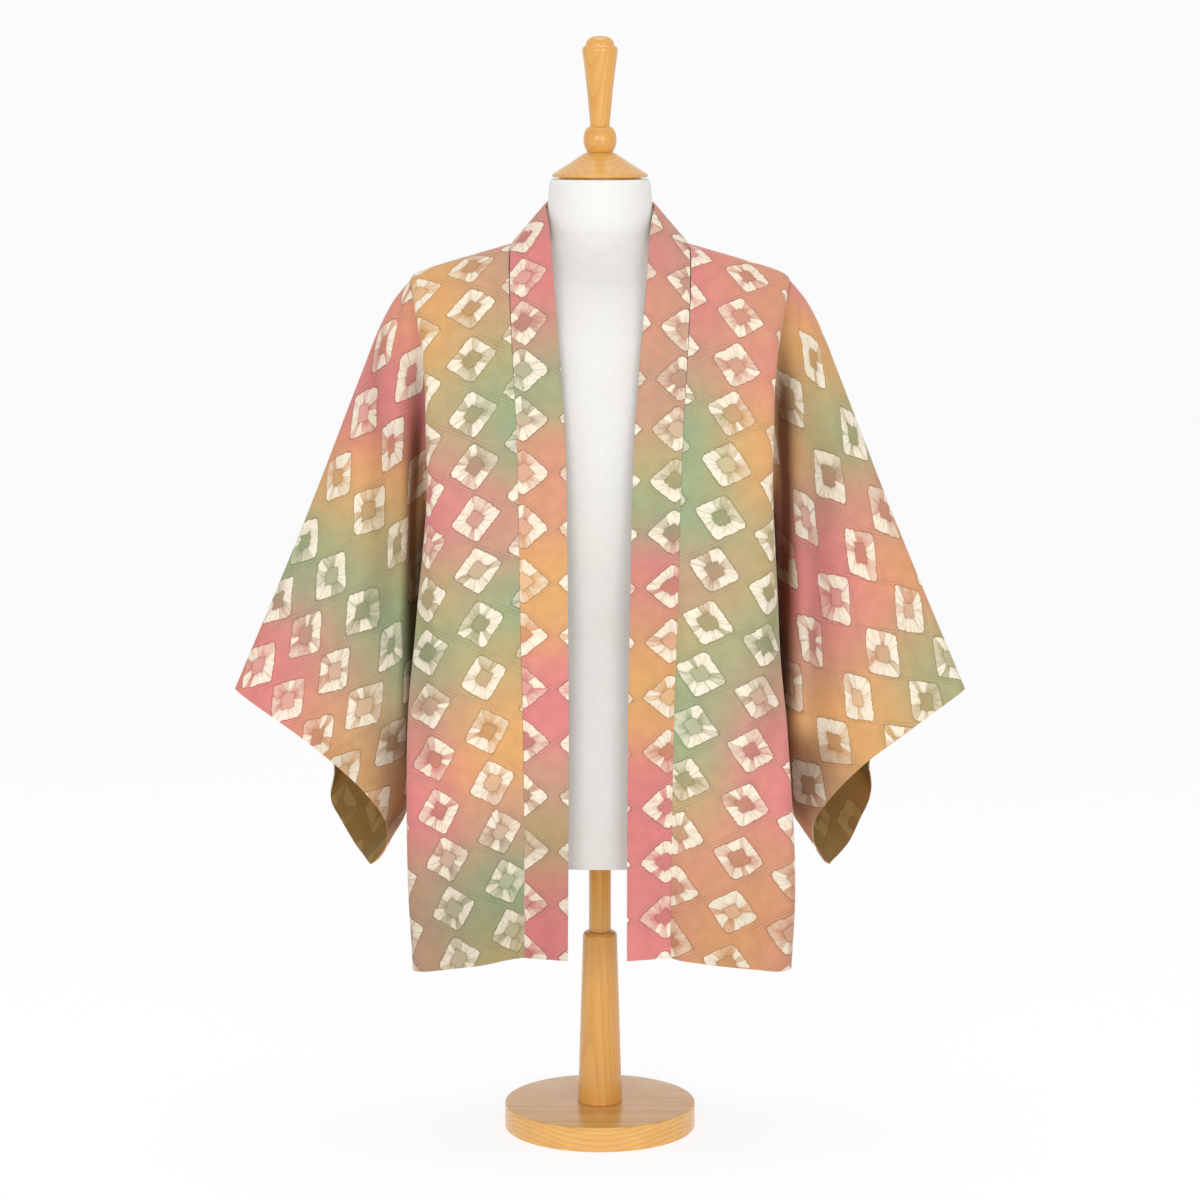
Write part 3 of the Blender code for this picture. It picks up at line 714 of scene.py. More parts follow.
def makeTiedSquares():
    # tied squares on every other cell of a lattice: a pale ring of wedges round a dyed core
    tree, given, put = newGroup("tiedSquares", dict(
        squares=(0, 0, 0), cut=(0, 0, 0), shape=(2, 0, 0), shapeLast=2.0, core=0.4, wedges=12.0,
        tinted=0.3, wobble=0.02, lineApart=0.026,
    ), "ring core coreTone tint outline lattice ridge relief")
    cut = given["cut"]
    sway = vectorCalc("SCALE", drifting(cut, *tie["swayNoise"]), given["wobble"] * tie["swayBoth"])
    a, b = split(vectorCalc("ADD", given["squares"], sway))[:2]
    # the nearest tied cell is found on the diagonals, where the tied cells follow one another
    halfSum, halfGap = (a + b) * 0.5, (a - b) * 0.5
    cellA, cellB = (calc("FLOOR", half + 0.5) for half in (halfSum, halfGap))
    offSum, offGap = halfSum - cellA, halfGap - cellB
    lots = lotsAt(join(cellA, cellB, tie["cellSeed"]))
    slipA = offSum + offGap + (lots[0] - 0.5) * tie["slip"]
    slipB = offSum - offGap + (lots[1] - 0.5) * tie["slip"]
    shape = split(given["shape"])
    m = shape[0] * slipA + shape[1] * slipB
    n = shape[2] * slipA + given["shapeLast"] * slipB
    absM, absN = abs(m), abs(n)

    def roundedSquare(power):
        return (absM**power + absN**power) ** (1 / power)

    ragged = cloudy(cut, *tie["ragNoise"]) - 0.5
    angle = calc("ARCTAN2", n, m) / (2 * math.pi)
    spokes = (angle + 1.0 + lots[2] * tie["turn"]) * given["wedges"]
    spokes = spokes + calc("SINE", angle * tie["waves"] + lots[0] * tie["waveSeed"]) * tie["waveDepth"]
    spokes = spokes + (cloudy(cut, *tie["bendNoise"]) - 0.5) * tie["bend"]
    wedge = calc("FLOORED_MODULO", calc("FLOOR", spokes), given["wedges"])
    toEdge = 0.5 - abs(calc("FRACT", spokes) - 0.5)
    wedgeLots = lotsAt(join(cellA + cellB * tie["cellStride"], wedge, tie["wedgeSeed"]))
    notched, chipped = (wedgeLots[1] - 0.5) * tie["notch"], (wedgeLots[2] - 0.5) * tie["chip"]
    outer = roundedSquare(tie["outerPower"]) + ragged * tie["outerRag"] + notched
    inner = roundedSquare(tie["corePower"]) + (chipped + ragged * tie["coreRag"])
    fromCore = inner - (given["core"] + (lots[1] - 0.5) * tie["coreVaries"])
    inCore = between(fromCore, *tie["coreRamp"])
    ring = between(outer, *tie["ringRamp"]) * (1.0 - inCore)
    # some wedges take up dye, and fine rays run out from the core
    dyed = between(wedgeLots[0], given["tinted"], given["tinted"] + tie["tintedOver"], 1.0, 0.0)
    for value, ramp in ((wedgeLots[1], "dyeLotRamp"), (inner, "dyeOutRamp"), (toEdge, "dyeEdgeRamp")):
        dyed = dyed * between(value, *tie[ramp])
    rayPlace = join(spokes * tie["rayAround"], inner * tie["rayOut"], cellA * tie["rayStride"] + cellB)
    rays = between(cloudy(rayPlace, *tie["rayNoise"]), *tie["rayRamp"])
    gaps = between(toEdge, *tie["gapRamp"]) * between(wedgeLots[2], *tie["gapLotRamp"])
    nearCore = between(fromCore, *tie["nearCoreRamp"])
    tint = calc("ADD", dyed * tie["dyed"] + rays * tie["rays"], gaps * tie["gaps"] + nearCore, clamp=True)
    squareLine = between(abs(outer - tie["outlineAt"]), *tie["outlineRamp"])
    outline = calc("MAXIMUM", squareLine, between(abs(fromCore), *tie["coreLineRamp"]) * tie["coreLine"])
    away = [abs(calc("FRACT", count) - 0.5) for count in (a, b)]
    shown = between(cloudy(cut, *tie["shownNoise"]), *tie["shownRamp"]) * between(outer, *tie["clearRamp"])
    doubles = [between(abs(gap - given["lineApart"]), *tie["doubleRamp"]) for gap in away]
    lattice = calc("MAXIMUM", *doubles) * shown
    relief = ring * (1.0 - gaps * tie["gapDip"]) - outline * tie["outlineDip"] + lattice * tie["latticeRise"]
    feed(put, dict(
        ring=ring, core=inCore, coreTone=lots[2], tint=tint, outline=outline, lattice=lattice,
        ridge=between(calc("MINIMUM", *away), *tie["ridgeRamp"]) * shown, relief=relief,
    ))
    return tree


wash = dict(
    driftNoise=(17, 3), least=0.0001,
    noise=(60, 4), ramp=(0.25, 0.75, 0.94, 1.05), mottleNoise=(480, 3), mottleRamp=(0.25, 0.75, 0.965, 1.03),
)


def makeBlendedDyes():
    tree, given, put = newGroup("blendedDyes", dict(
        weights=(1, 0, 0), cut=(0, 0, 0), pink=(1, 0, 0, 1), orange=(1, 0.5, 0, 1), green=(0, 1, 0, 1),
        cloud=0.3,
    ), "colour")
    cut = given["cut"]
    drift = vectorCalc("SCALE", drifting(cut, *wash["driftNoise"]), given["cloud"])
    weights = vectorCalc("MAXIMUM", vectorCalc("ADD", given["weights"], drift), (0.0, 0.0, 0.0))
    pink, orange, green = split(weights)
    warm = pink + orange
    colour = mixColours(orange / (warm + wash["least"]), given["pink"], given["orange"])
    colour = mixColours(green / (warm + green), colour, given["green"])
    tone = between(cloudy(cut, *wash["noise"]), *wash["ramp"])
    tone = tone * between(cloudy(cut, *wash["mottleNoise"]), *wash["mottleRamp"])
    feed(put, dict(colour=scaled(colour, tone)))
    return tree


weave = dict(fine=1500, long=45, detail=2, weftSeed=5.0, slubRamp=(0.45, 0.75), threadRise=0.5, shade=0.5)


def makePlainWeave():
    # warp over weft, with thicker threads here and there
    tree, given, put = newGroup("plainWeave", dict(place=(0, 0, 0), thread=0.0005, slub=0.5), "height shade")
    warp, weft = (
        calc("SINE", part)
        for part in split(vectorCalc("SCALE", given["place"], math.pi / given["thread"]))[:2]
    )
    across, along = split(given["place"])[:2]
    slubs = [
        between(cloudy(place, 1.0, weave["detail"]), *weave["slubRamp"]) for place in (
            join(across * weave["fine"], along * weave["long"]),
            join(across * weave["long"], along * weave["fine"], weave["weftSeed"]),
        )
    ]
    height = abs(warp * weft) * weave["threadRise"] + (slubs[0] + slubs[1]) * given["slub"]
    feed(put, dict(height=height, shade=calc("MULTIPLY", height, weave["shade"], clamp=True)))
    return tree


# stretches are cycles a metre along and across the grain
grain = dict(
    bendStretch=(2.0, 14.0), bendDetail=3, bend=0.010,
    lateRamp=(0.35, 0.92), lateEndRamp=(0.92, 1.0, 1.0, 0.0), late=0.55, lateDip=0.1,
    bandStretch=(4.0, 110.0), bandRamp=(0.3, 0.7), bands=0.35,
    poreStretch=(22.0, 900.0), poreRamp=(0.5, 0.8), pores=0.30, poreDip=0.35, detail=2,
    roughNoise=(35, 3), roughRamp=(0.3, 0.7, 0.30, 0.40),
)


def makeWoodGrain():
    # growth rings about the piece's own X axis after it is turned, with fine pores along it
    tree, given, put = newGroup("woodGrain", dict(
        place=(0, 0, 0), light=(1, 1, 1, 1), dark=(0, 0, 0, 1), ringWidth=0.006, contrast=0.5,
    ), "colour height roughness")
    x, y, z = split(given["place"])

    def streaks(stretch, detail):
        along, across = grain[stretch]
        return cloudy(join(x * along, y * across, z * across), 1.0, detail)

    bend = (streaks("bendStretch", grain["bendDetail"]) - 0.5) * grain["bend"]
    turns = calc("FRACT", (vectorCalc("LENGTH", join(0.0, y, z)) + bend) / given["ringWidth"])
    late = between(turns, *grain["lateRamp"]) * between(turns, *grain["lateEndRamp"])
    pores = between(streaks("poreStretch", grain["detail"]), *grain["poreRamp"])
    bands = between(streaks("bandStretch", grain["detail"]), *grain["bandRamp"])
    dark = late * grain["late"] + bands * grain["bands"] + pores * grain["pores"]
    dark = calc("MULTIPLY", dark, given["contrast"], clamp=True)
    feed(put, dict(
        colour=mixColours(dark, given["light"], given["dark"]),
        height=0.5 - (pores * grain["poreDip"] + late * grain["lateDip"]),
        roughness=between(cloudy(given["place"], *grain["roughNoise"]), *grain["roughRamp"]),
    ))
    return tree


tiedSquares = makeTiedSquares()
blendedDyes = makeBlendedDyes()
plainWeave = makePlainWeave()
woodGrain = makeWoodGrain()
print("shader groups made")


def linear(red, green, blue):
    # a swatch colour, 0 to 255, put through the sRGB curve for the shader
    shares = [value / 255 for value in (red, green, blue)]
    return tuple(s / 12.92 if s <= 0.04045 else ((s + 0.055) / 1.055) ** 2.4 for s in shares) + (1.0,)


cloth = dict(
    pink=linear(221, 132, 129),
    orange=linear(224, 168, 107),
    green=linear(153, 170, 129),
    # the brown that painted shade multiplies into the cloth
    paintedShade=linear(104, 76, 50),
    pale=linear(246, 235, 213),
    # the wrong side's tone, darkened further as painted shade inside the sleeves
    reverseToneAndShade=linear(190, 165, 114),
    throughReverse=0.45,
    thread=0.00055,
    slub=0.5,
    threadShade=(1.03, 0.10),
    finish={"Roughness": 0.74, "Sheen Weight": 0.15, "Sheen Roughness": 0.4, "Specular IOR Level": 0.25},
    coreTones=(0.35, 0.9),
    coreDark=0.84,
    corePale=0.22,
    outlineShare=0.40,
    outlineTone=0.25,
    latticeShare=0.25,
    latticeTone=0.3,
    latticePale=0.13,
    tint=0.95,
    tintDark=0.92,
    cloud=0.22,
    squareRise=0.0003,
    threadRise=0.00009,
    bump=(0.55, 1.0),
)


def newMaterial(name):
    material = bpy.data.materials.new(name)
    material.use_nodes = True
    current["tree"] = material.node_tree
    return material, material.node_tree.nodes["Principled BSDF"].inputs


def printMaterial(name, chart, face=True):
    material, shader = newMaterial(name)
    cut = uvPlace("cut")
    # the dyes attribute holds the dye shares, and the share of painted shade as its alpha
    weights, shapes = (addNode("Attribute", attribute_name=kind).outputs for kind in ("dyes", "shapes"))
    ground = useGroup(
        blendedDyes, weights=signal(weights["Vector"]), cut=cut,
        **{key: cloth[key] for key in ("pink", "orange", "green", "cloud")},
    )["colour"]
    squares = useGroup(
        tiedSquares, squares=uvPlace("squares"), cut=cut, shape=signal(shapes["Vector"]),
        shapeLast=signal(shapes["Alpha"]), **chart,
    )
    threads = useGroup(plainWeave, place=cut, thread=cloth["thread"], slub=cloth["slub"])
    core = mixColours(
        between(squares["coreTone"], *cloth["coreTones"]), scaled(ground, cloth["coreDark"]),
        mixColours(cloth["corePale"], ground, cloth["pale"]),
    )
    dyedWedge = scaled(ground, cloth["tintDark"])
    wedges = mixColours(squares["tint"] * cloth["tint"], cloth["pale"], dyedWedge)
    colour = mixColours(squares["core"], ground, core)
    lattice = squares["lattice"] * cloth["latticeShare"]
    colour = mixColours(lattice, colour, scaled(ground, cloth["latticeTone"]))
    colour = mixColours(squares["ridge"] * cloth["latticePale"], colour, cloth["pale"])
    colour = mixColours(squares["ring"], colour, wedges)
    outline = squares["outline"] * cloth["outlineShare"]
    colour = mixColours(outline, colour, scaled(ground, cloth["outlineTone"]))
    brightest, depth = cloth["threadShade"]
    colour = scaled(colour, brightest - threads["shade"] * depth)
    # painted shade: the colour darkened towards brown along the shade lines, in the sleeves' valleys and near
    # the hems
    colour = mixColours(signal(weights["Alpha"]), colour, cloth["paintedShade"], "MULTIPLY")
    if not face:
        # the dye comes through weaker on the wrong side, and the multiply below darkens and browns it: partly
        # the wrong side's own tone, partly painted shade inside the sleeves
        colour = mixColours(cloth["throughReverse"], colour, ground)
        colour = mixColours(1.0, colour, cloth["reverseToneAndShade"], "MULTIPLY")
    height = squares["relief"] * cloth["squareRise"] + threads["height"] * cloth["threadRise"]
    feed(shader, {"Base Color": colour, "Normal": bumpFrom(height, *cloth["bump"]), **cloth["finish"]})
    return material


# core is the share of a square taken up by its middle, tinted the share of wedges that took dye
charts = dict(
    body=dict(core=0.42, wedges=12.0, tinted=0.42),
    collar=dict(core=0.42, wedges=12.0, tinted=0.42),
    sleeve=dict(core=0.40, wedges=12.0, tinted=0.40),
)
prints = {
    kind: [printMaterial(kind + "Print" + part, chart, part != "Reverse") for part in ("", "Reverse", "Edge")]
    for kind, chart in charts.items()
}
print("printed cloth materials made")


wood = dict(
    light=linear(237, 182, 98),
    # a darker copy of the light wood: painted shade against the stronger light on the cap and the upright
    # pieces
    lean=linear(228, 170, 80),
    dark=linear(214, 147, 66),
    finish={"Coat Weight": 0.42, "Coat Roughness": 0.13},
    bump=(0.25, 0.0002),
)


def woodMaterial(name, light, turn, shift, ringWidth, contrast):
    # turn and shift place the growth rings' axis in this piece
    material, shader = newMaterial(name)
    place = signal(addNode("TexCoord").outputs["Object"])
    turned = [math.radians(angle) for angle in turn]
    mapping = addNode("Mapping", vector_type="TEXTURE")
    feed(mapping.inputs, dict(Vector=place, Location=shift, Rotation=turned))
    rings = useGroup(
        woodGrain, place=signal(mapping.outputs[0]), light=wood[light], dark=wood["dark"],
        ringWidth=ringWidth, contrast=contrast,
    )
    feed(shader, {
        "Base Color": rings["colour"], "Roughness": rings["roughness"],
        "Normal": bumpFrom(rings["height"], *wood["bump"]), **wood["finish"],
    })
    return material


woodLays = dict(
    # the upright pieces and the cap take the darker lean copy of the wood as painted shade
    uprightWood=dict(light="lean", turn=(0, 90, 0), shift=(0.03, 0.05, 0), ringWidth=0.0040, contrast=0.90),
    capWood=dict(light="lean", turn=(0, 0, 0), shift=(0, 0.02, 0.93), ringWidth=0.0024, contrast=0.85),
    baseWood=dict(light="light", turn=(0, 0, 0), shift=(0, -0.06, -0.075), ringWidth=0.0052, contrast=0.80),
)
woods = {name: woodMaterial(name, **lay) for name, lay in woodLays.items()}

linen = dict(
    colour=linear(241, 240, 236),
    warm=linear(232, 228, 220),
    thread=0.0009,
    slub=0.9,
    stainNoise=(9, 4),
    stainRamp=(0.35, 0.7),
    stain=0.35,
    threadShade=(1.02, 0.09),
    bump=(0.5, 0.0002),
    finish={"Roughness": 0.86, "Sheen Weight": 0.5, "Sheen Roughness": 0.6, "Specular IOR Level": 0.2},
)


def linenMaterial():
    material, shader = newMaterial("formLinen")
    cut = uvPlace("cut")
    threads = useGroup(plainWeave, place=cut, thread=linen["thread"], slub=linen["slub"])
    stain = between(cloudy(cut, *linen["stainNoise"]), *linen["stainRamp"])
    colour = mixColours(stain * linen["stain"], linen["colour"], linen["warm"])
    brightest, depth = linen["threadShade"]
    feed(shader, {
        "Base Color": scaled(colour, brightest - threads["shade"] * depth),
        "Normal": bumpFrom(threads["height"], *linen["bump"]), **linen["finish"],
    })
    return material


formLinen = linenMaterial()
print("wood and linen materials made")


stand = dict(
    baseRadius=0.106,
    baseHeight=0.0275,
    baseEdge=0.0016,
    columnTop=0.2215,
    columnFootRadius=0.0246,
    columnTopRadius=0.0189,
    columnEdge=0.0045,
    poleRadius=0.0122,
    torsoBottom=0.3107,
    partGap=0.0003,
    steps=112,
    baseRing=0.05,
    footEdge=0.0004,
    sharpDegrees=32,
    mergeWithin=1e-6,
)


def corner(radius, z, edge, low=False, steps=5):
    # a rounded outer corner of a disc, below or above its flat face
    turns = []
    for step in range(steps + 1):
        angle = math.pi / 2 * step / steps
        inward, up = edge * (1 - math.sin(angle)), edge * (1 - math.cos(angle))
        turns.append((radius - inward, z + up if low else z - up))
    return turns if low else turns[::-1]


def curved(points, perSpan=5):
    # a smooth curve through a round stretch of an outline
    points = [np.array(p, float) for p in points]
    ends = [2 * points[0] - points[1]] + points + [2 * points[-1] - points[-2]]
    line = []
    for i in range(1, len(ends) - 2):
        p0, p1, p2, p3 = ends[i - 1:i + 3]
        for step in range(perSpan):
            t = step / perSpan
            squared, cubed = 2 * p0 - 5 * p1 + 4 * p2 - p3, 3 * p1 - p0 - 3 * p2 + p3
            line.append(tuple(0.5 * (2 * p1 + (p2 - p0) * t + squared * t**2 + cubed * t**3)))
    line.append(tuple(points[-1]))
    return line


def turnedPiece(name, outline, material, node):
    bm = bmesh.new()
    verts = [bm.verts.new((radius, 0, z)) for radius, z in outline]
    edges = [bm.edges.new(pair) for pair in zip(verts, verts[1:])]
    bmesh.ops.spin(
        bm, geom=verts + edges, cent=(0, 0, 0), axis=(0, 0, 1), angle=2 * math.pi,
        steps=stand["steps"], use_merge=True,
    )
    bmesh.ops.remove_doubles(bm, verts=bm.verts, dist=stand["mergeWithin"])
    bmesh.ops.recalc_face_normals(bm, faces=bm.faces)
    piece = meshObject(name, bm, sharpDegrees=stand["sharpDegrees"])
    piece.data.materials.append(material)
    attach(piece, "root")
    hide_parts(node)
    return piece


edge, footEdge = stand["baseEdge"], stand["footEdge"]
baseTop = stand["baseHeight"]
turnedPiece(
    "standBase",
    [(0, 0)] + corner(stand["baseRadius"], 0, edge / 2, low=True)
    + corner(stand["baseRadius"], baseTop, edge) + [(stand["baseRing"], baseTop), (0, baseTop)],
    woods["baseWood"], "stand_base",
)
columnFoot, columnTop, footRadius = baseTop + stand["partGap"], stand["columnTop"], stand["columnFootRadius"]
turnedPiece(
    "standColumn",
    [(0, columnFoot), (footRadius - footEdge, columnFoot), (footRadius, columnFoot + footEdge)]
    + corner(stand["columnTopRadius"], columnTop, stand["columnEdge"]) + [(0, columnTop)],
    woods["uprightWood"], "stand_column",
)
poleLow, poleHigh = columnTop + stand["partGap"], stand["torsoBottom"] - stand["partGap"]
turnedPiece(
    "standPole",
    [(0, poleLow), (stand["poleRadius"], poleLow), (stand["poleRadius"], poleHigh), (0, poleHigh)],
    woods["uprightWood"], "stand_pole",
)
# outlines as radius and height, from the bottom up
capFoot = [(0, 1.0506), (0.0440, 1.0506), (0.0440, 1.0524), (0.0508, 1.0524)]
capRim = [(0.0508, 1.0524), (0.0516, 1.0532), (0.0516, 1.0550), (0.0508, 1.0560)]
capSlope = [(0.0500, 1.05645), (0.0172, 1.07755)]
capTop = [(0.0172, 1.07755), (0.0168, 1.0778), (0.0160, 1.0782)]
capOutline = capFoot + curved(capRim) + capSlope + curved(capTop) + [(0, 1.0782)]
turnedPiece("neckCap", capOutline, woods["capWood"], "neck_cap")
ball = [(0.0136, 1.0785), (0.0155, 1.0818), (0.0170, 1.0857), (0.0179, 1.0915), (0.0176, 1.0965),
        (0.0163, 1.1012), (0.0140, 1.1045), (0.0112, 1.1064), (0.0104, 1.1070)]
handle = [(0.0104, 1.1070), (0.0106, 1.1100), (0.0121, 1.1250), (0.0136, 1.1420), (0.0163, 1.1650),
          (0.0187, 1.1835), (0.0190, 1.1872), (0.0184, 1.1900), (0.0166, 1.1920)]
knob = [(0.0154, 1.1924), (0.0152, 1.1942), (0.0142, 1.1970), (0.0112, 1.2001), (0.0060, 1.2020),
        (0.0, 1.2024)]
finialOutline = [(0, 1.0785)] + curved(ball) + curved(handle)[1:] + curved(knob)
turnedPiece("finialTurned", finialOutline, woods["uprightWood"], "finial")
print("stand turned")


form = dict(
    rings=110,
    around=128,
    lidShares=(0.0, 0.5, 0.92),
    lidsOutside=(0.32, 1.05),
    middle=(0, 0, 0.7),
    sharpDegrees=50,
)
# z, half width, half depth, centre y, power of the oval
torsoRings = (
    (0.3107, 0.1300, 0.0900, 0.000, 2.2),
    (0.3300, 0.1350, 0.0930, 0.000, 2.3),
    (0.4500, 0.1400, 0.0970, 0.000, 2.3),
    (0.5800, 0.1350, 0.0930, 0.000, 2.3),
    (0.7000, 0.1550, 0.1030, 0.000, 2.3),
    (0.8000, 0.1720, 0.1030, -0.002, 2.3),
    (0.8700, 0.1800, 0.0920, -0.001, 2.3),
    (0.9120, 0.1870, 0.0740, 0.002, 2.2),
    (0.9380, 0.1885, 0.0560, 0.003, 2.0),
    (0.9473, 0.1850, 0.0480, 0.004, 2.0),
    (0.9543, 0.1780, 0.0430, 0.003, 2.0),
    (0.9640, 0.1484, 0.0390, 0.003, 2.0),
    (0.9725, 0.1194, 0.0385, 0.003, 2.0),
    (0.9850, 0.0770, 0.0440, 0.004, 2.0),
    (0.9990, 0.0630, 0.0520, 0.002, 2.0),
    (1.0200, 0.0567, 0.0567, 0.000, 2.0),
    (1.0400, 0.0550, 0.0550, 0.000, 2.0),
    (1.0490, 0.0538, 0.0538, 0.000, 2.0),
    (1.0503, 0.0526, 0.0526, 0.000, 2.0),
)


def torsoPiece():
    keys = [row[0] for row in torsoRings]
    heights = np.interp(np.linspace(0, len(keys) - 1, form["rings"]), range(len(keys)), keys)
    angles = np.linspace(0, 2 * math.pi, form["around"] + 1) + math.pi / 2
    rings = []
    for z in heights:
        width, depth, centre, power = readRows(torsoRings, z)
        x = np.sign(np.cos(angles)) * np.abs(np.cos(angles)) ** (2 / power) * width
        y = np.sign(np.sin(angles)) * np.abs(np.sin(angles)) ** (2 / power) * depth + centre
        rings.append(np.stack([x, y, np.full(len(angles), z)], axis=1))
    ends = [rings[0] * np.array([share, share, 1]) for share in form["lidShares"]]
    lids = [rings[-1] * np.array([share, share, 1]) for share in form["lidShares"][::-1]]
    points = np.array(ends + rings + lids)
    up = np.repeat(runAlong(points, 0)[:, :1], points.shape[1], axis=1)
    flat = np.stack([runAlong(points, 1), up], axis=-1)
    bm = wrapGrid(points, flat)
    low, high = form["lidsOutside"]

    def insideOf(place):
        return Vector((0, 0, place.z)) if low < place.z < high else Vector(form["middle"])

    turnOutwards(bm, insideOf)
    piece = meshObject("linenForm", bm, sharpDegrees=form["sharpDegrees"])
    piece.data.materials.append(formLinen)
    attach(piece, "root")
    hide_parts("form_torso")
    return piece


torsoPiece()
print("form covered")


# creases on the cut: start across, start along, end across, end along, width, rise
bodyCreases = {
    "left": [
        (0.108, 0.985, 0.1, 0.78, 0.0026, 0.0013), (0.112, 0.985, 0.105, 0.76, 0.0026, -0.0012),
        (0.118, 0.96, 0.108, 0.74, 0.005, 0.001), (0.15, 0.62, 0.165, 0.2, 0.014, 0.0035),
        (0.115, 0.52, 0.118, 0.18, 0.016, -0.0026), (0.205, 0.56, 0.212, 0.19, 0.012, 0.003),
        (0.045, 1.7, 0.06, 1.2, 0.02, 0.005), (0.11, 1.78, 0.12, 1.26, 0.024, -0.006),
        (0.165, 1.82, 0.16, 1.33, 0.02, 0.0055), (0.085, 1.5, 0.075, 1.15, 0.012, 0.003),
    ],
    "right": [
        (0.108, 0.99, 0.102, 0.7, 0.0026, 0.0014), (0.1125, 0.99, 0.107, 0.74, 0.0026, -0.0014),
        (0.098, 0.97, 0.094, 0.8, 0.0022, 0.0009), (0.14, 0.56, 0.15, 0.19, 0.015, 0.0032),
        (0.112, 0.6, 0.108, 0.2, 0.014, -0.0022), (0.2, 0.6, 0.206, 0.2, 0.013, 0.0034),
        (0.055, 1.76, 0.05, 1.18, 0.022, 0.0045), (0.125, 1.8, 0.128, 1.3, 0.022, -0.0055),
        (0.175, 1.78, 0.178, 1.36, 0.018, 0.005), (0.095, 1.42, 0.09, 1.12, 0.011, 0.0028),
    ],
}

# where each dye was laid on the cut: across, along
bodyPatches = {
    "right": dict(
        orange=[
            (0.17, 0.945), (0.18, 0.88), (0.112, 0.49), (0.12, 0.43), (0.15, 1.2), (0.03, 1.44),
            (0.2, 1.48), (0.1, 1.71),
        ],
        taupe=[
            (0.108, 0.945), (0.15, 0.77), (0.105, 0.7), (0.135, 0.655), (0.172, 0.49), (0.11, 0.375),
            (0.18, 0.31), (0.19, 0.24),
        ],
        olive=[(0.12, 0.885), (0.18, 0.82), (0.17, 0.61), (0.11, 0.54), (0.1, 0.22)],
        green=[
            (0.118, 0.83), (0.1, 0.77), (0.108, 0.61), (0.175, 0.55), (0.112, 0.305), (0.15, 0.27),
            (0.18, 1.08), (0.04, 1.16), (0.12, 1.4), (0.04, 1.62), (0.18, 1.63),
        ],
        pink=[
            (0.14, 0.71), (0.19, 0.7), (0.185, 0.43), (0.182, 0.37), (0.11, 1.09), (0.06, 1.29),
            (0.19, 1.32), (0.1, 1.54), (0.22, 1.74),
        ],
    ),
    "left": dict(
        pink=[
            (0.112, 0.985), (0.108, 0.93), (0.19, 0.85), (0.168, 0.455), (0.172, 0.395), (0.19, 1.09),
            (0.06, 1.29), (0.11, 1.4), (0.03, 1.62), (0.16, 1.64),
        ],
        salmon=[
            (0.165, 0.975), (0.17, 0.92), (0.16, 0.865), (0.115, 0.34), (0.17, 0.33), (0.112, 0.275),
            (0.19, 0.24),
        ],
        taupe=[(0.102, 0.865), (0.115, 0.635), (0.172, 0.51)],
        green=[
            (0.1, 0.8), (0.102, 0.74), (0.11, 0.69), (0.16, 0.57), (0.118, 0.515), (0.11, 0.455),
            (0.04, 1.15), (0.15, 1.23), (0.19, 1.5), (0.09, 1.54),
        ],
        orange=[
            (0.165, 0.8), (0.17, 0.74), (0.15, 0.26), (0.12, 1.09), (0.2, 1.33), (0.03, 1.44), (0.08, 1.73),
            (0.22, 1.74),
        ],
        olive=[(0.168, 0.69), (0.17, 0.63), (0.115, 0.575), (0.112, 0.4)],
    ),
}
# the print's lattice: square is where the cell numbered count has its middle on the cut, and
# across and down step to its neighbours. Rows are read by the distance along driftBy. Those of
# drift go on with the shift across and down, those of edges with u and v of a square's two sides
bodyLay = {
    "left": dict(
        square=(0.1502, 0.9135), across=(0.0335, -0.041), down=(-0.0335, -0.0145), count=(0, 0),
        driftBy=(0, 1),
        drift=(
            (0.2, -0.078, -0.008), (0.36, -0.064, 0.001), (0.53, -0.0424, 0.0064), (0.75, -0.0165, 0.0065),
            (0.91, 0.0, 0.0), (0.97, 0.0106, 0.0007), (1.1, 0.018, 0.0), (1.8, 0.0, 0.0),
        ),
        edges=(
            (0.2, 0.023, -0.0338, -0.0338, -0.0154), (0.75, 0.023, -0.0338, -0.033, -0.0154),
            (0.92, 0.024, -0.0342, -0.0288, -0.0162), (1.8, 0.024, -0.0342, -0.0288, -0.0162),
        ),
    ),
    "right": dict(
        square=(0.1381, 0.9239), across=(0.03, -0.04385), down=(-0.03, -0.01235), count=(20, 6),
        driftBy=(0, 1),
        drift=(
            (0.2, -0.052, 0.004), (0.31, -0.0396, 0.0008), (0.41, -0.0257, -0.0044), (0.64, -0.0089, -0.002),
            (0.81, -0.0036, -0.0042), (0.92, 0.0, 0.0), (0.98, 0.002, 0.0014),
            (1.1, 0.004, 0.0), (1.8, 0.0, 0.0),
        ),
        edges=(
            (0.2, 0.0176, -0.035, -0.0296, -0.0158), (0.45, 0.0188, -0.035, -0.0296, -0.016),
            (0.75, 0.0264, -0.0346, -0.0292, -0.0172), (1.8, 0.0264, -0.0344, -0.0292, -0.0174),
        ),
    ),
}


bodyCloth = dict(
    freeAtSeam=0.008,
    freeAtSide=0.02,
    hangsBelow=0.80,
    hangsOver=0.25,
    waveSize=(0.050, 0.30),
    waveHeight=0.010,
    waveSeeds=dict(left=2.3, right=7.9),
    inside=(0.05, 0, 0),
    insideTop=0.9,
    dyeReach=0.042,
    edgeRound=0.0004,
)
sides = dict(left=1, right=-1)


def pushed(points, height, inside):
    # the sheet moved along its normals, away from the places inside it
    normals = gridNormals(points)
    outward = np.sign((normals * (points - inside)).sum(axis=-1).mean())
    return points + normals * outward * height[..., None]


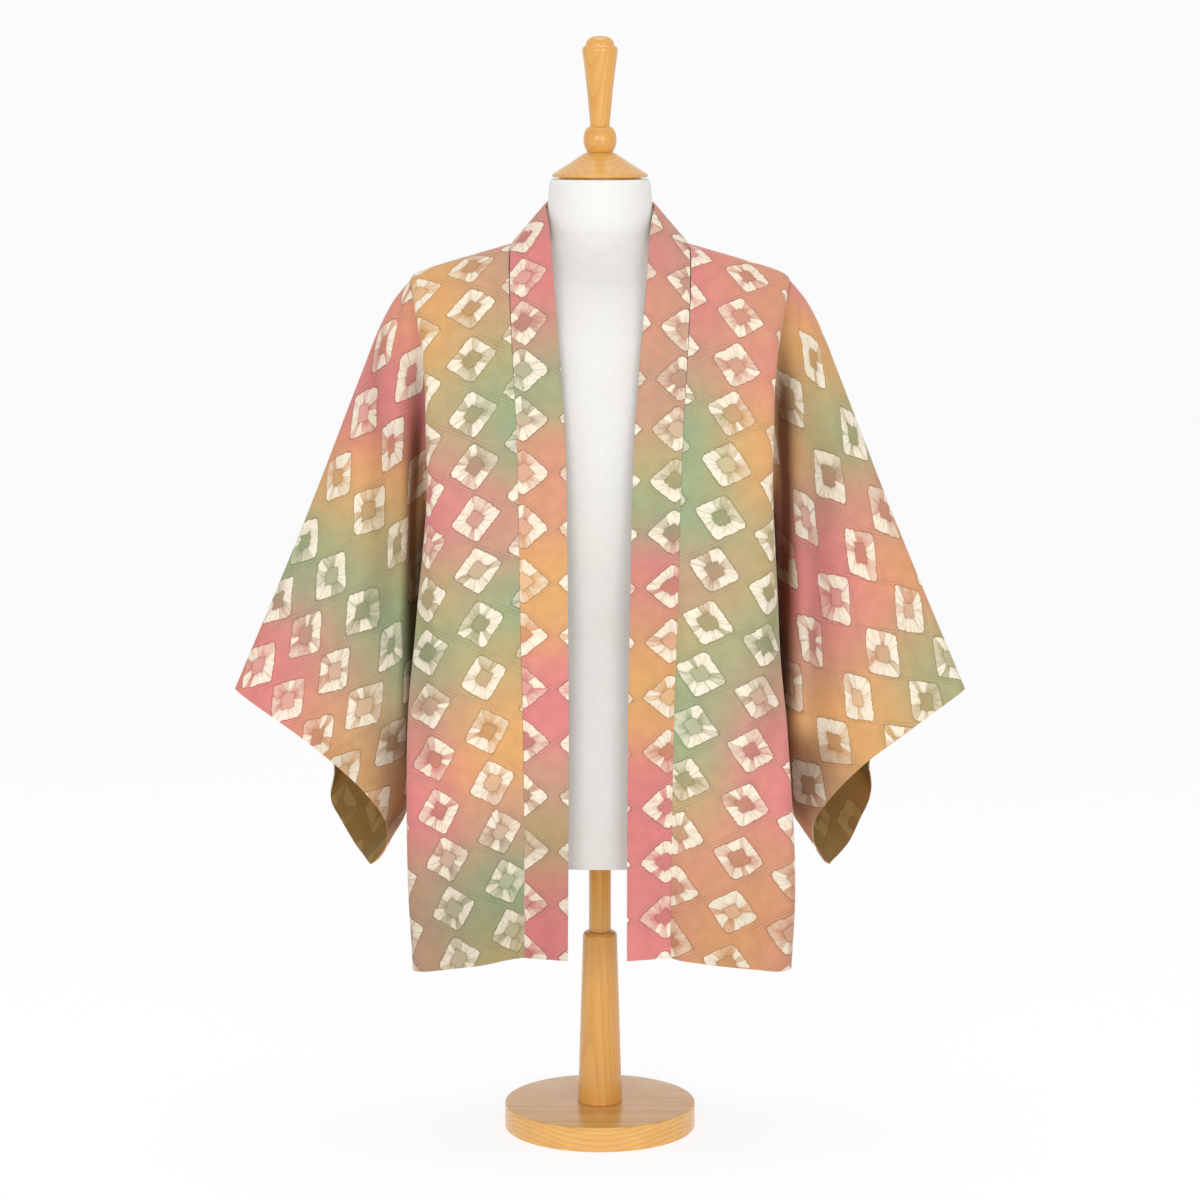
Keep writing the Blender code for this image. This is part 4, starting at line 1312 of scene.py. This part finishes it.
def addBodies():
    points, flat = panelSheet()
    across, along = flat[..., 0], flat[..., 1]
    free = ease((across - across[:, :1]) / bodyCloth["freeAtSeam"])
    free = free * ease((across[:, -1:] - across) / bodyCloth["freeAtSide"])
    hanging = ease((bodyCloth["hangsBelow"] - points[..., 2]) / bodyCloth["hangsOver"])
    for side, sign in sides.items():
        height = creaseHeights(flat, bodyCreases[side])
        height = (height + hangingWaves(flat, bodyCloth, side) * hanging) * free
        placed = lean(pushed(points, height, np.array(bodyCloth["inside"])) * np.array([sign, 1, 1]))
        printed = layPrint(flat, bodyLay[side], bodyPatches[side], bodyShadeLines[side], bodyCloth["dyeReach"])
        piece = clothPiece(
            side + "Body", "body_" + side, "body", placed, flat, printed, jacket["wall"],
            bodyCloth["edgeRound"], lambda place: Vector((0, 0, min(place.z, bodyCloth["insideTop"]))),
        )


sleeveCreases = {
    "left": [
        (0.18, 0.88, 0.184, 0.4, 0.013, -0.005), (0.207, 0.88, 0.208, 0.42, 0.008, 0.0042),
        (0.212, 0.925, 0.205, 0.86, 0.0045, -0.003), (0.231, 0.905, 0.235, 0.64, 0.009, -0.004),
        (0.234, 0.7, 0.232, 0.42, 0.012, -0.007), (0.258, 0.56, 0.25, 0.41, 0.012, 0.006),
        (0.262, 0.7, 0.282, 0.48, 0.016, -0.003), (0.3, 0.64, 0.318, 0.44, 0.018, 0.004),
        (0.47, 0.86, 0.56, 0.56, 0.015, 0.008), (0.43, 0.9, 0.5, 0.56, 0.016, -0.008),
    ],
    "right": [
        (0.178, 0.88, 0.182, 0.4, 0.013, -0.0055), (0.206, 0.88, 0.207, 0.42, 0.008, 0.0046),
        (0.211, 0.925, 0.204, 0.85, 0.0045, -0.0034), (0.231, 0.9, 0.234, 0.56, 0.009, -0.0042),
        (0.238, 0.64, 0.232, 0.43, 0.0115, -0.0072), (0.262, 0.54, 0.252, 0.4, 0.011, 0.0055),
        (0.266, 0.72, 0.288, 0.52, 0.015, -0.0035), (0.296, 0.66, 0.31, 0.45, 0.017, 0.0042),
        (0.475, 0.84, 0.565, 0.54, 0.015, 0.0075), (0.435, 0.88, 0.505, 0.54, 0.016, -0.0085),
    ],
}
# painted shade, strongest in the valley beside the body, with more in the folds, low on the sleeve and near
# the cuff: start across, start along, end across, end along, width, share
sleeveShadeLines = {
    "left": [
        (0.183, 0.92, 0.184, 0.32, 0.0125, 1.0), (0.196, 0.9, 0.196, 0.36, 0.014, 0.25),
        (0.236, 0.82, 0.236, 0.38, 0.015, 0.3), (0.212, 0.46, 0.212, 0.33, 0.026, 0.68),
        (0.236, 0.44, 0.262, 0.34, 0.028, 0.22), (0.64, 0.52, 0.54, 0.42, 0.055, 0.28),
    ],
    "right": [
        (0.184, 0.88, 0.185, 0.32, 0.0125, 1.0), (0.197, 0.8, 0.197, 0.36, 0.014, 0.22),
        (0.233, 0.92, 0.235, 0.48, 0.01, 0.26), (0.216, 0.48, 0.212, 0.3, 0.024, 0.62),
        (0.262, 0.44, 0.29, 0.36, 0.03, 0.2), (0.64, 0.52, 0.54, 0.42, 0.055, 0.25),
    ],
}
# painted shade beside the sleeves, and in bands along the front and back hems
bodyShadeLines = {
    "left": [
        (0.19, 0.64, 0.188, 0.42, 0.012, 0.2), (-0.05, 0.25, 0.45, 0.25, 0.09, 0.16),
        (-0.05, 1.86, 0.45, 1.86, 0.09, 0.16),
    ],
    "right": [
        (0.188, 0.66, 0.186, 0.4, 0.012, 0.2), (-0.05, 0.25, 0.45, 0.25, 0.1, 0.26),
        (-0.05, 1.86, 0.45, 1.86, 0.09, 0.2),
    ],
}
sleevePatches = {
    "right": dict(
        pink=[
            (0.211, 0.938), (0.226, 0.885), (0.2, 0.83), (0.232, 0.84), (0.229, 0.798), (0.208, 0.78),
            (0.272, 0.78), (0.343, 0.545), (0.374, 0.512), (0.343, 0.495), (0.335, 0.45), (0.42, 0.86),
            (0.48, 0.62),
        ],
        orange=[
            (0.203, 0.89), (0.25, 0.738), (0.222, 0.707), (0.279, 0.712), (0.29, 0.45), (0.254, 0.411),
            (0.24, 0.37), (0.39, 0.74), (0.44, 0.54), (0.54, 0.56),
        ],
        olive=[(0.247, 0.667), (0.226, 0.638), (0.224, 0.441), (0.6, 0.48)],
        green=[
            (0.289, 0.667), (0.321, 0.61), (0.268, 0.612), (0.248, 0.579), (0.212, 0.56), (0.212, 0.502),
            (0.33, 0.83), (0.47, 0.74), (0.4, 0.64),
        ],
        taupe=[(0.3, 0.579), (0.286, 0.52), (0.25, 0.48)],
        salmon=[(0.316, 0.47)],
        brown=[(0.215, 0.4)],
    ),
    "left": dict(
        pink=[
            (0.216, 0.925), (0.263, 0.682), (0.216, 0.609), (0.276, 0.6), (0.245, 0.64), (0.245, 0.56),
            (0.33, 0.85), (0.47, 0.74), (0.4, 0.64), (0.58, 0.43),
        ],
        orange=[
            (0.209, 0.858), (0.24, 0.868), (0.263, 0.826), (0.205, 0.756), (0.196, 0.82), (0.315, 0.627),
            (0.308, 0.485), (0.276, 0.448), (0.256, 0.433), (0.3, 0.45), (0.24, 0.47), (0.42, 0.86),
            (0.44, 0.54),
        ],
        green=[(0.236, 0.8), (0.248, 0.765), (0.262, 0.79), (0.355, 0.505), (0.39, 0.74), (0.48, 0.62)],
        olive=[(0.276, 0.748), (0.328, 0.53), (0.335, 0.46), (0.54, 0.56), (0.6, 0.48)],
        taupe=[(0.29, 0.695), (0.232, 0.69), (0.221, 0.517)],
        salmon=[(0.308, 0.678), (0.263, 0.53), (0.292, 0.56)],
        brown=[(0.231, 0.401), (0.218, 0.355)],
    ),
}
sleeveLay = {
    "left": dict(
        square=(0.2844, 0.6523), across=(0.0384, -0.0102), down=(0.0094, -0.058), count=(3, 11),
        driftBy=(0.854, -0.52),
        drift=(
            (-0.249, 0.002, 0.01), (-0.173, 0.004, 0.003), (-0.096, -0.006, -0.011), (-0.02, 0.0, -0.004),
            (0.057, 0.003, 0.01),
        ),
        edges=(
            (-0.249, 0.029, -0.0097, 0.0046, -0.0488), (-0.066, 0.0332, -0.008, 0.0048, -0.051),
            (0.02, 0.0355, -0.0048, 0.0066, -0.045),
        ),
    ),
    "right": dict(
        square=(0.2487, 0.6867), across=(0.0316, -0.0142), down=(-0.0019, -0.0528), count=(0, 0),
        driftBy=(0.755, -0.655),
        drift=(
            (-0.395, 0.0, 0.004), (-0.328, -0.006, 0.0), (-0.262, -0.005, 0.0), (-0.196, 0.006, -0.002),
            (-0.129, 0.008, -0.001), (-0.063, 0.0, -0.006),
        ),
        edges=(
            (-0.4, 0.0255, -0.0067, 0.003, -0.05), (-0.26, 0.0325, -0.0096, 0.0035, -0.0458),
            (-0.06, 0.0355, -0.0114, 0.0038, -0.043),
        ),
    ),
}


def sleeveMiddle(place, middle, sign):
    # the sleeve's own middle line nearest to a place on it
    line = middle[:, 0] * np.array([sign, 1, 1])
    nearest = np.argmin(((line - np.array(place)) ** 2).sum(axis=1))
    return Vector(line[nearest])


def addSleeves():
    points, flat = sleeveSheet()
    middle = points.mean(axis=1, keepdims=True)
    out = sleeveOuts()[:, None]
    down = foldSteps(sleeve["foldCount"])
    down = np.concatenate([down[::-1], down[1:]])
    awayFromFolds = ease(down / sleeve["waveFreeTop"]) * ease((1 - down) / sleeve["waveFreeLow"])
    for side, sign in sides.items():
        height = creaseHeights(flat, sleeveCreases[side])
        height = height + hangingWaves(flat, sleeve, side) * ease(out / sleeve["waveFreeHead"])
        height = height * ease(out / sleeve["creaseFreeHead"]) * awayFromFolds
        height[:, [0, -1]] = height[:, [0, -1]].mean(axis=1, keepdims=True)
        moved = pushed(points, height, middle)
        moved[:, -1] = moved[:, 0]
        printed = layPrint(flat, sleeveLay[side], sleevePatches[side], sleeveShadeLines[side], sleeve["dyeReach"])
        piece = clothPiece(
            side + "Sleeve", "sleeve_" + side, "sleeve", moved * np.array([sign, 1, 1]), flat, printed,
            jacket["wall"], sleeve["edgeRound"], lambda place: sleeveMiddle(place, middle, sign),
        )


# painted shade, darkening the collar lower down
collarShadeLines = {
    "left": [
        (0.025, 0.76, 0.025, 0.18, 0.06, 0.09),
    ],
    "right": [
        (0.025, 0.42, 0.025, 0.12, 0.06, 0.24),
    ],
}
collarPatches = {
    "right": dict(
        taupe=[(0.02, 1.05), (0.02, 0.89), (0.025, 0.416)],
        pink=[(0.025, 0.985), (0.025, 0.94), (0.025, 0.53), (0.025, 0.48), (0.025, 0.29), (0.025, 0.23)],
        green=[(0.025, 0.835)],
        salmon=[(0.025, 0.76), (0.025, 0.7)],
        orange=[(0.025, 0.64), (0.025, 0.59)],
        olive=[(0.025, 0.345)],
    ),
    "left": dict(
        taupe=[(0.02, 1.05), (0.01, 0.985), (0.01, 0.9), (0.012, 0.83), (0.042, 0.82)],
        pink=[(0.04, 0.98), (0.025, 0.645), (0.025, 0.425), (0.025, 0.34), (0.025, 0.26)],
        salmon=[(0.042, 0.9), (0.025, 0.595)],
        olive=[(0.02, 0.76)],
        green=[(0.025, 0.7)],
        orange=[(0.025, 0.535), (0.025, 0.48)],
    ),
}
collarEdges = ((0.2, 0.029, -0.0262, -0.029, -0.0235), (1.02, 0.029, -0.0262, -0.029, -0.0235))
collarLay = {
    "left": dict(
        square=(0.0007, 0.9509), across=(0.033, -0.0296), down=(-0.033, -0.0266), count=(0, 0),
        driftBy=(0, 1),
        drift=(
            (0.2, 0.006, -0.014), (0.39, 0.0045, -0.0006), (0.51, 0.005, 0.006), (0.68, 0.0055, 0.0125),
            (0.79, 0.0054, 0.0083), (0.95, 0.0, 0.0), (1.02, -0.004, -0.002),
        ),
        edges=collarEdges,
    ),
    "right": dict(
        square=(0.0155, 0.9542), across=(0.033, -0.0296), down=(-0.033, -0.0266), count=(31, 9),
        driftBy=(0, 1),
        drift=(
            (0.2, -0.0175, 0.002), (0.34, -0.0171, 0.0057), (0.46, -0.0163, 0.0106), (0.63, -0.0123, 0.014),
            (0.8, -0.0083, 0.0159), (0.9, -0.0022, 0.0054), (0.954, 0.0, 0.0), (1.02, 0.004, -0.004),
        ),
        edges=collarEdges,
    ),
}


def addCollar():
    half, flat = collarSheet()
    hanging = ease(flat[..., 0] / collar["freeAtSeam"])
    hanging = hanging * ease((collar["hangsBelow"] - half[..., 2]) / collar["hangsOver"])
    parts = {}
    for side, sign in sides.items():
        placed = half * np.array([sign, 1, 1])
        placed[..., 1] -= hangingWaves(flat, collar, side) * hanging
        printed = layPrint(flat, collarLay[side], collarPatches[side], collarShadeLines[side], collar["dyeReach"])
        parts[side] = dict(printed, place=lean(placed), cut=flat)
    whole = {kind: np.concatenate([part, parts["right"][kind][::-1]]) for kind, part in parts["left"].items()}
    piece = clothPiece(
        "collarBand", "collar", "collar", whole["place"], whole["cut"], whole, collar["wall"],
        collar["edgeRound"],
        lambda place: Vector((0, collar["insideY"], min(place.z, collar["insideTop"]))),
    )


addBodies()
addSleeves()
addCollar()
print("jacket hung")


white = (1, 1, 1, 1)
studio = dict(
    floorSize=40.0,
    floorGlow=0.80,
    floorShade=0.25,
    floorRoughness=0.9,
    floorSpecular=0.1,
    worldLight=0.52,
    backdrop=0.965,
    lights=[
        # name, place, aimed at, size, watts
        ("frontLeft", (-1.1, -3.9, 1.6), (0, 0, 0.5), 1.5, 36),
        ("frontRight", (1.3, -3.8, 1.3), (0, 0, 0.5), 1.5, 29),
        ("overhead", (0, 0.2, 3.4), (0, 0, 0.6), 1.8, 20),
    ],
    cameraPlace=(0, -3.75, 1.131),
    cameraTilt=8.17,
    lens=103.8,
    sensorWidth=36,
)


def addFloor():
    bm = bmesh.new()
    bmesh.ops.create_grid(bm, x_segments=1, y_segments=1, size=studio["floorSize"])
    floor = meshObject("studioFloor", bm)
    material, shader = newMaterial("floorPale")
    feed(shader, {
        "Base Color": (*[studio["floorShade"]] * 3, 1), "Roughness": studio["floorRoughness"],
        "Specular IOR Level": studio["floorSpecular"], "Emission Color": white,
        "Emission Strength": studio["floorGlow"],
    })
    floor.data.materials.append(material)


def addWorld():
    world = bpy.data.worlds.new("studioWorld")
    world.use_nodes = True
    current["tree"] = world.node_tree
    seen = world.node_tree.nodes["Background"]
    feed(seen.inputs, dict(Color=white, Strength=studio["backdrop"]))
    light = addNode("Background", dict(Color=white, Strength=studio["worldLight"]))
    rays = addNode("LightPath").outputs
    direct = calc("MAXIMUM", signal(rays["Is Camera Ray"]), signal(rays["Is Glossy Ray"]))
    mix = addNode("MixShader", {0: direct, 1: signal(light.outputs[0]), 2: signal(seen.outputs[0])})
    feed(world.node_tree.nodes["World Output"].inputs, dict(Surface=signal(mix.outputs[0])))
    bpy.context.scene.world = world


def addLights():
    for name, place, target, size, watts in studio["lights"]:
        data = bpy.data.lights.new(name, "AREA")
        data.shape = "SQUARE"
        data.size = size
        data.energy = watts
        lamp = bpy.data.objects.new(name, data)
        lamp.location = place
        lamp.rotation_euler = (Vector(target) - Vector(place)).to_track_quat("-Z", "Y").to_euler()
        bpy.context.scene.collection.objects.link(lamp)


def addCamera():
    data = bpy.data.cameras.new("camera")
    data.sensor_width = studio["sensorWidth"]
    data.lens = studio["lens"]
    camera = bpy.data.objects.new("camera", data)
    camera.location = studio["cameraPlace"]
    camera.rotation_euler = (math.radians(90 - studio["cameraTilt"]), 0, 0)
    bpy.context.scene.collection.objects.link(camera)
    bpy.context.scene.camera = camera


addFloor()
addWorld()
addLights()
addCamera()
bpy.context.scene.view_settings.view_transform = "Standard"
print("studio set")
